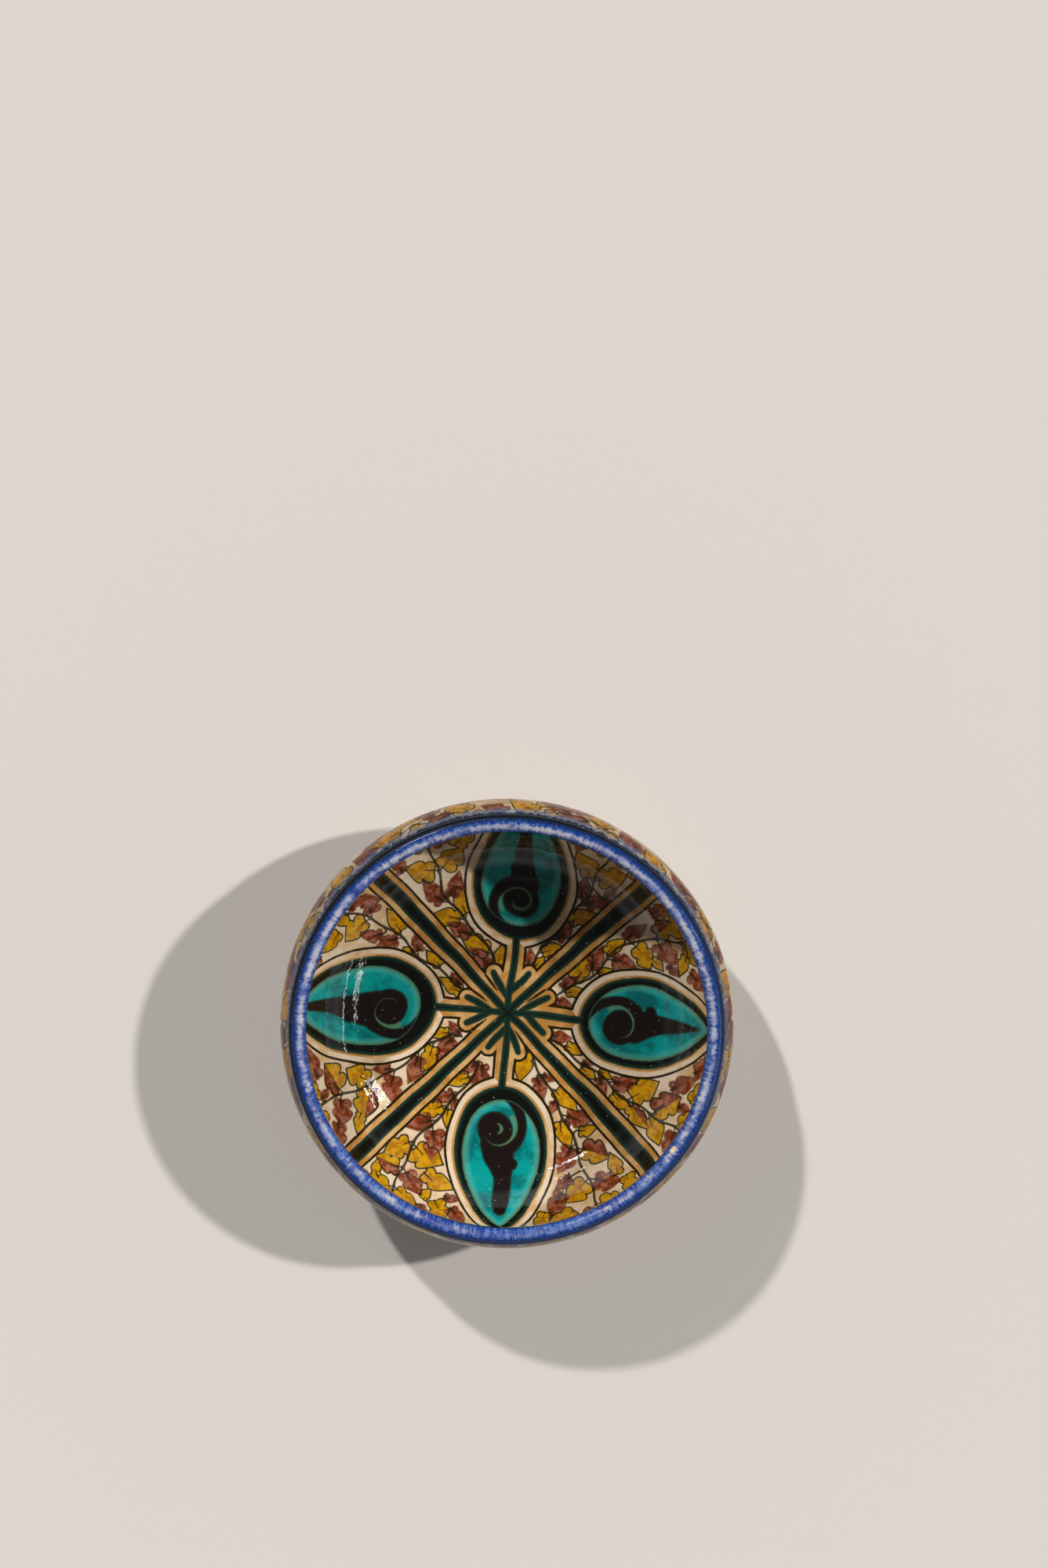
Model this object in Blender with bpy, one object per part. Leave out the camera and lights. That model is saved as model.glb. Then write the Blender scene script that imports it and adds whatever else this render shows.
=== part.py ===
"""A wheel-thrown pottery bowl, taken apart by how it is made: the thrown clay wall, the lip rolled on top
of it, the foot ring under it, and the coats of glaze that are fired on to them.

Metres, +Z up. The origin is on the bowl's axis, on the plane that the foot stands on. Every piece is turned
about that axis, so each is an outline of (radius, height) points swept once round it.
"""

import math

import bmesh
import bpy

MM = 0.001

# Driving dimensions
BELLY_DIAMETER = 140.0 * MM  # widest level, over the glaze
FOOT_RISE = 5.0 * MM  # underside of the clay floor above the table, on the axis
LOWER_WALL_HEIGHT = 35.0 * MM  # from that underside up to the widest level
LIP_RISE = 16.0 * MM  # from the widest level up to the top of the lip
WALL_THICKNESS = 3.6 * MM  # clay, at the widest level
FLOOR_THICKNESS = 5.2 * MM  # clay, on the axis
NECK_THICKNESS = 2.6 * MM  # clay, just under the lip
LIP_DIAMETER = 127.8 * MM  # through the middle of the roll
LIP_THICKNESS = 5.4 * MM  # the roll, over the glaze
LIP_OVERHANG = 0.3 * MM  # how far the roll leans out over the neck
FOOT_DIAMETER = 66.0 * MM  # outer edge of the foot, on the table
FOOT_WIDTH = 5.5 * MM  # the flat band that stands on the table
FOOT_SPLAY = 1.2 * MM  # how far each side of the foot widens towards the floor
FOOT_EDGE = 0.8 * MM  # chamfer on both edges of the foot
GLAZE_THICKNESS = 0.6 * MM
BARE_BAND = 2.2 * MM  # bare clay left round the foot, outside and inside
SEAT_GAP = 0.3 * MM  # between pieces that lie on each other

# How finely the curves are drawn
TURN_STEPS = 60
LOWER_WALL_STEPS = 9
UPPER_WALL_STEPS = 3
ROLL_STEPS = 10
UNDERSIDE_STEPS = 3
SEAT_ANGLE = math.radians(52.0)  # how far below its middle the roll is flattened
SHARP_ANGLE = math.radians(35.0)
MERGE_DISTANCE = 0.0005 * MM  # points closer than this are one point

# Levels and radii that follow from them
COAT = SEAT_GAP + GLAZE_THICKNESS
BELLY_Z = FOOT_RISE + LOWER_WALL_HEIGHT
CLAY_BELLY = BELLY_DIAMETER / 2 - COAT
LIP_Z = BELLY_Z + LIP_RISE - LIP_THICKNESS / 2
LIP_RADIUS = LIP_DIAMETER / 2
ROLL_RADIUS = LIP_THICKNESS / 2 - COAT
LIP_SEAT_Z = LIP_Z - ROLL_RADIUS * math.sin(SEAT_ANGLE)
NECK_Z = LIP_SEAT_Z - SEAT_GAP
NECK_MIDDLE = LIP_RADIUS - LIP_OVERHANG
FOOT_OUTER = FOOT_DIAMETER / 2
FOOT_INNER = FOOT_OUTER - FOOT_WIDTH


class WallFace:
    """One face of the clay wall: a quarter ellipse from the axis to the widest level, then in to the neck."""

    def __init__(self, belly_radius, depth, neck_radius):
        self.belly_radius = belly_radius
        self.depth = depth
        self.neck_radius = neck_radius

    def lower_point(self, turn, offset):
        """The point at this angle from the axis, moved out along the face's normal."""
        radius = self.belly_radius * math.sin(turn)
        height = BELLY_Z - self.depth * math.cos(turn)
        across = self.depth * math.sin(turn)
        down = self.belly_radius * math.cos(turn)
        length = math.hypot(across, down)
        return (radius + offset * across / length, height - offset * down / length)

    def upper_point(self, share, offset):
        """The point at this share of the way from the widest level to the neck, moved out level."""
        bow = (self.neck_radius - self.belly_radius) * share**2
        height = BELLY_Z + (NECK_Z - BELLY_Z) * share
        return (self.belly_radius + bow + offset, height)

    def turn_at(self, radius):
        """The angle at which the lower part reaches this radius."""
        return math.asin(radius / self.belly_radius)

    def height_at(self, radius):
        """The lower part's height at this radius."""
        return BELLY_Z - self.depth * math.cos(self.turn_at(radius))

    def lower_run(self, first_turn, last_turn, steps, offset):
        """Points of the lower part between two angles."""
        turns = [first_turn + (last_turn - first_turn) * i / steps for i in range(steps + 1)]
        return [self.lower_point(turn, offset) for turn in turns]

    def run(self, first_turn, offset):
        """Points from an angle of the lower part up to the neck."""
        lower = self.lower_run(first_turn, math.pi / 2, LOWER_WALL_STEPS, offset)
        shares = [i / UPPER_WALL_STEPS for i in range(1, UPPER_WALL_STEPS + 1)]
        return lower + [self.upper_point(share, offset) for share in shares]


OUTSIDE = WallFace(CLAY_BELLY, LOWER_WALL_HEIGHT, NECK_MIDDLE + NECK_THICKNESS / 2)
INSIDE = WallFace(
    CLAY_BELLY - WALL_THICKNESS,
    LOWER_WALL_HEIGHT - FLOOR_THICKNESS,
    NECK_MIDDLE - NECK_THICKNESS / 2,
)


def turn_solid(name, outline, material):
    """Sweeps a closed outline, or one that starts and ends on the axis, once round Z into a named object."""
    sketch = bmesh.new()
    points = [sketch.verts.new((radius, 0.0, height)) for radius, height in outline]
    on_axis = max(outline[0][0], outline[-1][0]) < MERGE_DISTANCE
    pairs = list(zip(points, points[1:]))
    if not on_axis:
        pairs.append((points[-1], points[0]))
    edges = [sketch.edges.new(pair) for pair in pairs]
    bmesh.ops.spin(
        sketch,
        geom=points + edges,
        cent=(0.0, 0.0, 0.0),
        axis=(0.0, 0.0, 1.0),
        angle=math.tau,
        steps=TURN_STEPS,
        use_merge=True,
    )
    bmesh.ops.remove_doubles(sketch, verts=sketch.verts, dist=MERGE_DISTANCE)
    bmesh.ops.recalc_face_normals(sketch, faces=sketch.faces)
    mesh = bpy.data.meshes.new(name)
    sketch.to_mesh(mesh)
    sketch.free()
    mesh.shade_smooth()
    mesh.set_sharp_from_angle(angle=SHARP_ANGLE)
    mesh.materials.append(material)
    piece = bpy.data.objects.new(name, mesh)
    bpy.context.scene.collection.objects.link(piece)
    return piece


def make_material(name, colour, roughness):
    """A plain surface of one colour, given as linear red, green and blue."""
    material = bpy.data.materials.new(name)
    material.use_nodes = True
    surface = material.node_tree.nodes["Principled BSDF"]
    surface.inputs["Base Color"].default_value = (*colour, 1.0)
    surface.inputs["Roughness"].default_value = roughness
    surface.inputs["Metallic"].default_value = 0.0
    return material


def roll_arc(radius, first_angle, last_angle):
    """Points round the middle of the lip, angles counted from the outer side over the top."""
    angles = [first_angle + (last_angle - first_angle) * i / ROLL_STEPS for i in range(ROLL_STEPS + 1)]
    return [(LIP_RADIUS + radius * math.cos(a), LIP_Z + radius * math.sin(a)) for a in angles]


def clay_wall(clay):
    """The thrown floor and wall, up to the flat neck that carries the lip."""
    inner = INSIDE.run(0.0, 0.0)
    outer = OUTSIDE.run(0.0, 0.0)
    return turn_solid("clay_wall", inner + outer[::-1], clay)


def rim_roll(clay):
    """The lip: a round roll of clay, flattened where it sits on the neck."""
    dip = SEAT_ANGLE
    return turn_solid("rim_roll", roll_arc(ROLL_RADIUS, -dip, math.pi + dip), clay)


def foot_ring(clay):
    """The turned foot: a chamfered ring that widens upwards to the curve of the underside."""
    inner_top = FOOT_INNER - FOOT_SPLAY
    outer_top = FOOT_OUTER + FOOT_SPLAY
    radii = [inner_top + (outer_top - inner_top) * i / UNDERSIDE_STEPS for i in range(UNDERSIDE_STEPS + 1)]
    seat = [(radius, OUTSIDE.height_at(radius) - SEAT_GAP) for radius in radii]
    stand = [
        (FOOT_OUTER, FOOT_EDGE),
        (FOOT_OUTER - FOOT_EDGE, 0.0),
        (FOOT_INNER + FOOT_EDGE, 0.0),
        (FOOT_INNER, FOOT_EDGE),
    ]
    return turn_solid("foot_ring", seat + stand, clay)


def coat(name, face, first_turn, side, glaze):
    """A glaze coat on one face of the wall, from an angle of its lower part up to the neck."""
    near = face.run(first_turn, side * SEAT_GAP)
    far = face.run(first_turn, side * COAT)
    return turn_solid(name, near + far[::-1], glaze)


def inner_glaze(glaze):
    """The glaze that lines the bowl."""
    return coat("inner_glaze", INSIDE, 0.0, -1.0, glaze)


def outer_glaze(glaze):
    """The glaze on the outside, which stops short of the foot."""
    glaze_line = FOOT_OUTER + FOOT_SPLAY + BARE_BAND
    return coat("outer_glaze", OUTSIDE, OUTSIDE.turn_at(glaze_line), 1.0, glaze)


def rim_glaze(glaze):
    """The coloured glaze over the lip, open underneath where the lip sits on the neck."""
    drop = LIP_Z - LIP_SEAT_Z
    near_dip = math.asin(drop / (ROLL_RADIUS + SEAT_GAP))
    far_dip = math.asin(drop / (ROLL_RADIUS + COAT))
    near = roll_arc(ROLL_RADIUS + SEAT_GAP, -near_dip, math.pi + near_dip)
    far = roll_arc(ROLL_RADIUS + COAT, -far_dip, math.pi + far_dip)
    return turn_solid("rim_glaze", near + far[::-1], glaze)


def base_glaze(glaze):
    """The glaze inside the foot ring, short of the ring itself."""
    last_turn = OUTSIDE.turn_at(FOOT_INNER - FOOT_SPLAY - BARE_BAND)
    near = OUTSIDE.lower_run(0.0, last_turn, UNDERSIDE_STEPS, SEAT_GAP)
    far = OUTSIDE.lower_run(0.0, last_turn, UNDERSIDE_STEPS, COAT)
    return turn_solid("base_glaze", near + far[::-1], glaze)


def main():
    """Clears the scene and builds the bowl."""
    for old in list(bpy.data.objects):
        bpy.data.objects.remove(old)
    clay = make_material("buff_clay", (0.52, 0.36, 0.22), 0.85)
    clear_glaze = make_material("painted_clear_glaze", (0.72, 0.60, 0.40), 0.12)
    cobalt_glaze = make_material("cobalt_glaze", (0.03, 0.08, 0.42), 0.12)
    clay_wall(clay)
    rim_roll(clay)
    foot_ring(clay)
    inner_glaze(clear_glaze)
    outer_glaze(clear_glaze)
    base_glaze(clear_glaze)
    rim_glaze(cobalt_glaze)


main()
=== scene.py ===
"""A wheel-thrown pottery bowl with a painted lining, a cobalt lip and a turned foot, seen from above."""

import logging
import math
from dataclasses import dataclass
from enum import Enum
from operator import itemgetter
from typing import Any, Callable, Sequence, Union

import bpy
import numpy as np
from mathutils import Matrix, Vector

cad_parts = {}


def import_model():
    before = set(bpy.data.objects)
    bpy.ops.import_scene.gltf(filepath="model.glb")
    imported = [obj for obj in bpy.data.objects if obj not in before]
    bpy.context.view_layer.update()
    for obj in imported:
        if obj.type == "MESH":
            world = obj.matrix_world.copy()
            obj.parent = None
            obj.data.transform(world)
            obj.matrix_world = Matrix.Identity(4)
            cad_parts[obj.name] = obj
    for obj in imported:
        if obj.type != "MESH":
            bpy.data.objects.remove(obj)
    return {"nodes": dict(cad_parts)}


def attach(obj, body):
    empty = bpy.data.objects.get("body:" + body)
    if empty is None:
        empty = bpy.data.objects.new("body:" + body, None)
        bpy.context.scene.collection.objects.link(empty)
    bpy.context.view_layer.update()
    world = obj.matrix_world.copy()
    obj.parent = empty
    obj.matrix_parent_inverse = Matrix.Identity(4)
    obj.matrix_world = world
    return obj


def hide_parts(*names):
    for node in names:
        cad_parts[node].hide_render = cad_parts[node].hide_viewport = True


LOG = logging.getLogger("pottery_bowl")

MM = 0.001
TINY = 1e-9
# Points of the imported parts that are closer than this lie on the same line, in metres.
NEAR = 0.05 * MM
PHOTO_SIZE = (1335, 2000)
BODY = "root"
# The depth, in millimetres, of a point that no paint comes near.
NOWHERE = -30.0
# The plainer back of a glaze is turned in steps of this length.
BACK_STEP = 2 * MM
# How many points a curved line is drawn with.
BOW_POINTS = 8
# How much fired glaze and fired clay bend light.
GLAZE_IOR, CLAY_IOR = 1.52, 1.5

Socket = bpy.types.NodeSocket
Tree = bpy.types.NodeTree
Paint = Union[str, Socket]
Stroke = tuple[np.ndarray, Sequence[float]]
DepthAt = Callable[[np.ndarray, np.ndarray], np.ndarray]
Wave = tuple[float, int, float]

SOFT = {"interpolation_type": "SMOOTHSTEP"}
CLOUDY = {"Detail": 3.0, "Roughness": 0.6}


def linear(colour: str) -> tuple[float, float, float, float]:
    """Turns an sRGB hex colour into a linear one.

    Args:
        colour: The colour as "#RRGGBB".

    Returns:
        Linear red, green and blue, and a full alpha.
    """
    parts = [int(colour[place:place + 2], 16) / 255 for place in (1, 3, 5)]
    red, green, blue = (
        part / 12.92 if part <= 0.04045 else ((part + 0.055) / 1.055) ** 2.4 for part in parts
    )
    return red, green, blue, 1.0


def put(tree: Tree, kind: str, inputs: dict[Any, Any] | None = None, out: Any = 0, **settings: Any) -> Any:
    """Adds a shader node with its settings and links.

    Args:
        tree: The node tree that takes the node.
        kind: The node's type without its prefix, such as "Mix".
        inputs: By input name or number, the socket linked to it or its value.
        out: The output that is wanted, by name or number.
        **settings: The node's own properties.

    Returns:
        The wanted output, or None from a node that has none.
    """
    node = tree.nodes.new("ShaderNode" + kind)
    for name, value in settings.items():
        setattr(node, name, value)
    for key, value in (inputs or {}).items():
        if isinstance(value, Socket):
            tree.links.new(value, node.inputs[key])
        else:
            node.inputs[key].default_value = value
    return node.outputs[out] if node.outputs else None


def arc_lengths(path: np.ndarray) -> np.ndarray:
    """The length along a path at each of its points."""
    return np.concatenate([[0.0], np.cumsum(np.linalg.norm(np.diff(path, axis=0), axis=1))])


def resample(path: np.ndarray, step: float) -> np.ndarray:
    """Spaces a path's points evenly.

    Args:
        path: The path's points, one to a row.
        step: The spacing to aim for, in the path's unit.

    Returns:
        The evenly spaced points, both ends kept.
    """
    arc = arc_lengths(path)
    even = np.linspace(0.0, arc[-1], max(2, round(arc[-1] / step) + 1))
    return np.column_stack([np.interp(even, arc, axis) for axis in path.T])


def smoothed(path: np.ndarray, span: int) -> np.ndarray:
    """Rounds a path's corners.

    Args:
        path: The path's points, one to a row.
        span: Over how many points, an odd number, each is averaged.

    Returns:
        The rounded path, with as many points.
    """
    share = np.full(span, 1 / span)
    padded = np.pad(path, ((span // 2, span // 2), (0, 0)), mode="edge")
    return np.column_stack([np.convolve(axis, share, "valid") for axis in padded.T])


def heading(degrees: float) -> np.ndarray:
    """The unit vector at an angle from +X."""
    return np.array([math.cos(math.radians(degrees)), math.sin(math.radians(degrees))])


def ways_at(turn: np.ndarray) -> np.ndarray:
    """The unit vectors at angles from +X, in radians."""
    return np.stack([np.cos(turn), np.sin(turn)], -1)


def waves(turn: np.ndarray, parts: Sequence[Wave]) -> np.ndarray:
    """Adds up waves about the bowl's axis.

    Args:
        turn: Angles about the axis, in radians.
        parts: Each wave's height, how often it swells in one turn, and its start in radians.

    Returns:
        The waves' sum at each angle.
    """
    return sum(height * np.cos(swells * turn + start) for height, swells, start in parts)


def directions(path: np.ndarray) -> np.ndarray:
    """The unit vector along a path at each of its points."""
    along = np.gradient(path, axis=0)
    return along / np.linalg.norm(along, axis=1)[:, None]


def leftward(ways: np.ndarray) -> np.ndarray:
    """One or more ways on a plane, turned a quarter turn to the left."""
    return np.stack([-ways[..., 1], ways[..., 0]], -1)


def bow(start: np.ndarray, bend: np.ndarray, end: np.ndarray) -> np.ndarray:
    """A curved line between two points.

    Args:
        start: Where the line starts.
        bend: Where it heads for at first.
        end: Where it comes round to.

    Returns:
        The line's points.
    """
    share = np.linspace(0, 1, BOW_POINTS)[:, None]
    return (1 - share) ** 2 * start + 2 * share * (1 - share) * bend + share ** 2 * end


def nearest(points: np.ndarray, starts: np.ndarray, along: np.ndarray) -> tuple[np.ndarray, ...]:
    """Measures points against straight pieces of a line.

    Args:
        points: The points.
        starts: Where each piece starts.
        along: The way from each piece's start to its end.

    Returns:
        For each point and each piece: the way from the piece's start to the point, how far along the piece
        its nearest place lies, from 0 to 1, and the gap to that place.
    """
    offset = points[:, None] - starts
    share = np.clip((offset * along).sum(2) / np.maximum((along ** 2).sum(1), TINY), 0, 1)
    return offset, share, np.linalg.norm(offset - share[..., None] * along, axis=2)


class Pigment(Enum):
    """What the painter laid on a face. Each is kept as the depth inside it in millimetres."""

    FIGURE = "figure"
    BORDER = "border"
    SEAM = "seam"
    BLACK = "black"
    TURQUOISE = "turquoise"
    SCROLL = "scroll"
    CURL = "curl"
    OCHRE = "ochre"
    MANGANESE = "manganese"
    SHADE = "shade"
    LEAF = "leaf"
    PEN = "pen"


class LeafKind(Enum):
    """A leaf's wash, by the letter that stands for it in a vine's row of leaves."""

    OCHRE = "o"
    MANGANESE = "m"
    BOTH = "b"
    NONE = "-"


class PaintSheet:
    """A painted face laid flat, with each point's depth inside each pigment in millimetres."""

    FAR = 6.0
    WITH_MARGINS = (Pigment.FIGURE, Pigment.BORDER, Pigment.TURQUOISE)

    def __init__(self, flat: np.ndarray, lap: float = 0.0, close: float = 1.0) -> None:
        """Starts an unpainted sheet.

        Args:
            flat: The face's points on the flat sheet, in millimetres.
            lap: The length after which the sheet meets itself again, or 0 if it doesn't.
            close: How far outside a shape without margins its depth is still worked out, in millimetres.
        """
        self.lap, self.close = lap, close
        self.order = np.argsort(flat[:, 0])
        self.flat = flat[self.order]
        self._depth = {pigment: np.full(len(flat), NOWHERE) for pigment in Pigment}

    def depth(self, pigment: Pigment) -> np.ndarray:
        """Each point's depth inside a pigment, in the order in which the points were given."""
        depth = np.empty(len(self.flat))
        depth[self.order] = self._depth[pigment]
        return depth

    def _lay(self, pigment: Pigment, shape: np.ndarray, spread: float, depth_at: DepthAt) -> None:
        """Adds a shape to a pigment, at each lap of the sheet.

        Args:
            pigment: The pigment laid on.
            shape: The shape's points in millimetres.
            spread: How far the shape reaches past its points.
            depth_at: Gives the depth of points inside the shape.
        """
        layer = self._depth[pigment]
        reach = max(0.0, spread) + (self.FAR if pigment in self.WITH_MARGINS else self.close)
        for shift in (-self.lap, 0.0, self.lap) if self.lap else (0.0,):
            moved = shape + np.array([shift, 0.0])
            low, high = moved.min(0) - reach, moved.max(0) + reach
            start, end = np.searchsorted(self.flat[:, 0], (low[0], high[0]))
            level = self.flat[start:end, 1]
            near = start + np.flatnonzero((level > low[1]) & (level < high[1]))
            if len(near):
                layer[near] = np.maximum(layer[near], depth_at(self.flat[near], moved))

    def fill(self, pigment: Pigment, outline: np.ndarray, grow: float = 0.0) -> None:
        """Fills an outline.

        Args:
            pigment: The pigment laid on.
            outline: The closed outline's points in millimetres.
            grow: How far the filled shape stands out past the outline.
        """
        def depth_at(points: np.ndarray, shape: np.ndarray) -> np.ndarray:
            """The depth of points inside the outline, below 0 outside it."""
            along = np.roll(shape, -1, axis=0) - shape
            offset, _, gap = nearest(points, shape, along)
            level = (offset[..., 1] < 0) != (offset[..., 1] < along[:, 1])
            slope = along[:, 0] / np.where(along[:, 1] == 0, TINY, along[:, 1])
            crossed = level & (offset[..., 0] < slope * offset[..., 1])
            return np.where(crossed.sum(1) % 2 == 1, 1, -1) * gap.min(1) + grow

        self._lay(pigment, outline, grow, depth_at)

    def stroke(self, pigment: Pigment, path: np.ndarray, widths: Sequence[float], grow: float = 0.0) -> None:
        """Draws a brush stroke.

        Args:
            pigment: The pigment laid on.
            path: The stroke's middle line in millimetres.
            widths: The stroke's widths, spread evenly along it.
            grow: How far the stroke stands out past its width.
        """
        half = np.interp(np.linspace(0, 1, len(path)), np.linspace(0, 1, len(widths)), widths) / 2

        def depth_at(points: np.ndarray, shape: np.ndarray) -> np.ndarray:
            """The depth of points inside the stroke, below 0 outside it."""
            _, share, gap = nearest(points, shape[:-1], np.diff(shape, axis=0))
            return (half[:-1] + share * np.diff(half) - gap).max(1) + grow

        self._lay(pigment, path, float(half.max()) + grow, depth_at)


@dataclass(frozen=True)
class Leaf:
    """A painted vine leaf: two round lobes at its base and a blade drawn out to a bent tip.

    Its length and the slip of its pen outline are in millimetres, its breadth a share of the length.
    """

    base: np.ndarray
    aim: np.ndarray
    length: float
    breadth: float
    kind: LeafKind
    bend: float
    lopside: float
    slip: np.ndarray

    BEND = (-0.3, 0.3)
    LOPSIDE = (-0.2, 0.2)
    SLIP = (-0.2, 0.2)
    RIB = 0.36
    RIB_WIDTHS = (0.55, 0.3)
    SHADE_WIDTHS = (2.0, 0.6)
    # The lobe's middle and radius, the notch between the lobes and the blade's start, as shares of the
    # breadth, and the lobe's arc: its first and last angle in degrees, and how many points it has.
    LOBE = (0.48, 0.46)
    LOBE_RADIUS = 0.45
    LOBE_ARC = (215, 22, 8)
    NOTCH = 0.12
    BLADE = 0.85
    # The blade's first and last point, as shares of its length, and how many it has. Then how near to its
    # base it is widest, how much it tapers, and the height and the fall of its shoulder.
    BLADE_RUN = (0.03, 1.0, 12)
    WIDEST, TAPER = 0.6, 0.25
    SHOULDER, FALL = 0.4, 6

    @classmethod
    def drawn(cls, rng: np.random.Generator, base: np.ndarray, aim: np.ndarray, length: float, breadth: float,
              kind: LeafKind) -> "Leaf":
        """Draws a leaf with the small chances of a free hand.

        Args:
            rng: The source of the chances.
            base: Where the leaf's stalk ends, in millimetres.
            aim: The unit vector to its tip.
            length: Its length in millimetres.
            breadth: Half its width, as a share of its length.
            kind: Its wash.

        Returns:
            The leaf.
        """
        bend, lopside = rng.uniform(*cls.BEND), rng.uniform(*cls.LOPSIDE)
        return cls(base, aim, length, breadth, kind, bend, lopside, rng.uniform(*cls.SLIP, 2))

    def outline(self) -> list[np.ndarray]:
        """The leaf's left side from its base to its tip, and its right side back, on the sheet."""
        lobe = self.LOBE + self.LOBE_RADIUS * ways_at(np.radians(np.linspace(*self.LOBE_ARC)))
        share = np.linspace(*self.BLADE_RUN)
        swell = np.sin(math.pi * share ** self.WIDEST) * (1 - self.TAPER * share)
        swell = swell + self.SHOULDER * (1 - share) ** self.FALL
        start = self.BLADE * self.breadth
        blade = np.column_stack([start + (1 - start) * share, self.breadth * swell])
        side = np.vstack([[[self.NOTCH * self.breadth, 0.0]], lobe * self.breadth, blade])
        sides = []
        for part in (side * [1, 1 + self.lopside], side[-2:0:-1] * [1, self.lopside - 1]):
            part[:, 1] += self.bend * part[:, 0] ** 2
            sides.append(self.base + self.length * part @ np.array([self.aim, leftward(self.aim)]))
        return sides

    def paint(self, sheet: PaintSheet) -> None:
        """Paints the leaf with its rib, its pen outline and the darker wash along the rib.

        Args:
            sheet: The sheet that takes it.
        """
        left, right = self.outline()
        whole = np.vstack([left, right])
        rib = np.array([self.base, self.base + self.RIB * self.length * self.aim])
        sheet.stroke(Pigment.PEN, rib, self.RIB_WIDTHS)
        if self.kind is LeafKind.MANGANESE:
            sheet.fill(Pigment.MANGANESE, whole)
        else:
            sheet.fill(Pigment.OCHRE, whole)
            sheet.fill(Pigment.LEAF, whole + self.slip)
        if self.kind is LeafKind.BOTH:
            sheet.fill(Pigment.MANGANESE, left)
        if self.kind is not LeafKind.OCHRE:
            sheet.stroke(Pigment.SHADE, rib + self.slip, self.SHADE_WIDTHS)


@dataclass(frozen=True)
class Vine:
    """A vine stem with leaves on both sides, painted outwards between a band and a medallion.

    Its course is given as distances from the bowl's middle and angles there, and the last distance is where
    the lip starts to hide it. Each side's leaves are letters of LeafKind.
    """

    course: tuple[tuple[float, float], ...]
    left: str
    right: str

    END = 84.0
    STEP = 0.5
    ROUNDING = 21
    SWAY = 0.6
    SWAY_LENGTH = 2.6
    ROOM = (6.0, 9.0)

    def path(self) -> np.ndarray:
        """The stem's middle line on the flat sheet, in millimetres."""
        reach = np.arange(self.course[0][0], self.END, self.STEP)
        angles = np.radians(smoothed(np.interp(reach, *zip(*self.course))[:, None], self.ROUNDING)[:, 0])
        angles += self.SWAY * np.sin(reach / self.SWAY_LENGTH + self.course[0][1]) / reach
        return reach[:, None] * ways_at(angles)

    def cells(self, room: np.ndarray, kinds: str) -> list[tuple[int, int, LeafKind]]:
        """Shares the stem among the leaves of one side, each leaf's stretch fitting its room.

        Args:
            room: The free space beside each point of the path, in millimetres.
            kinds: The leaves' letters, from the middle of the bowl out to where the lip hides them.

        Returns:
            Each leaf's first and last point of the path, and its wash.
        """
        need = np.concatenate([[0.0], np.cumsum(self.STEP / np.clip(room[:-1], *self.ROOM))])
        seen = min(len(need) - 1, round((self.course[-1][0] - self.course[0][0]) / self.STEP))
        marks = np.searchsorted(need, np.arange(0.0, need[-1], need[seen] / len(kinds)))
        hidden = "mo" if kinds[-1] == "o" else "om"
        letters = kinds + hidden * len(marks)
        return [(first, last, LeafKind(letter)) for first, last, letter in zip(marks, marks[1:], letters)]


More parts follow.
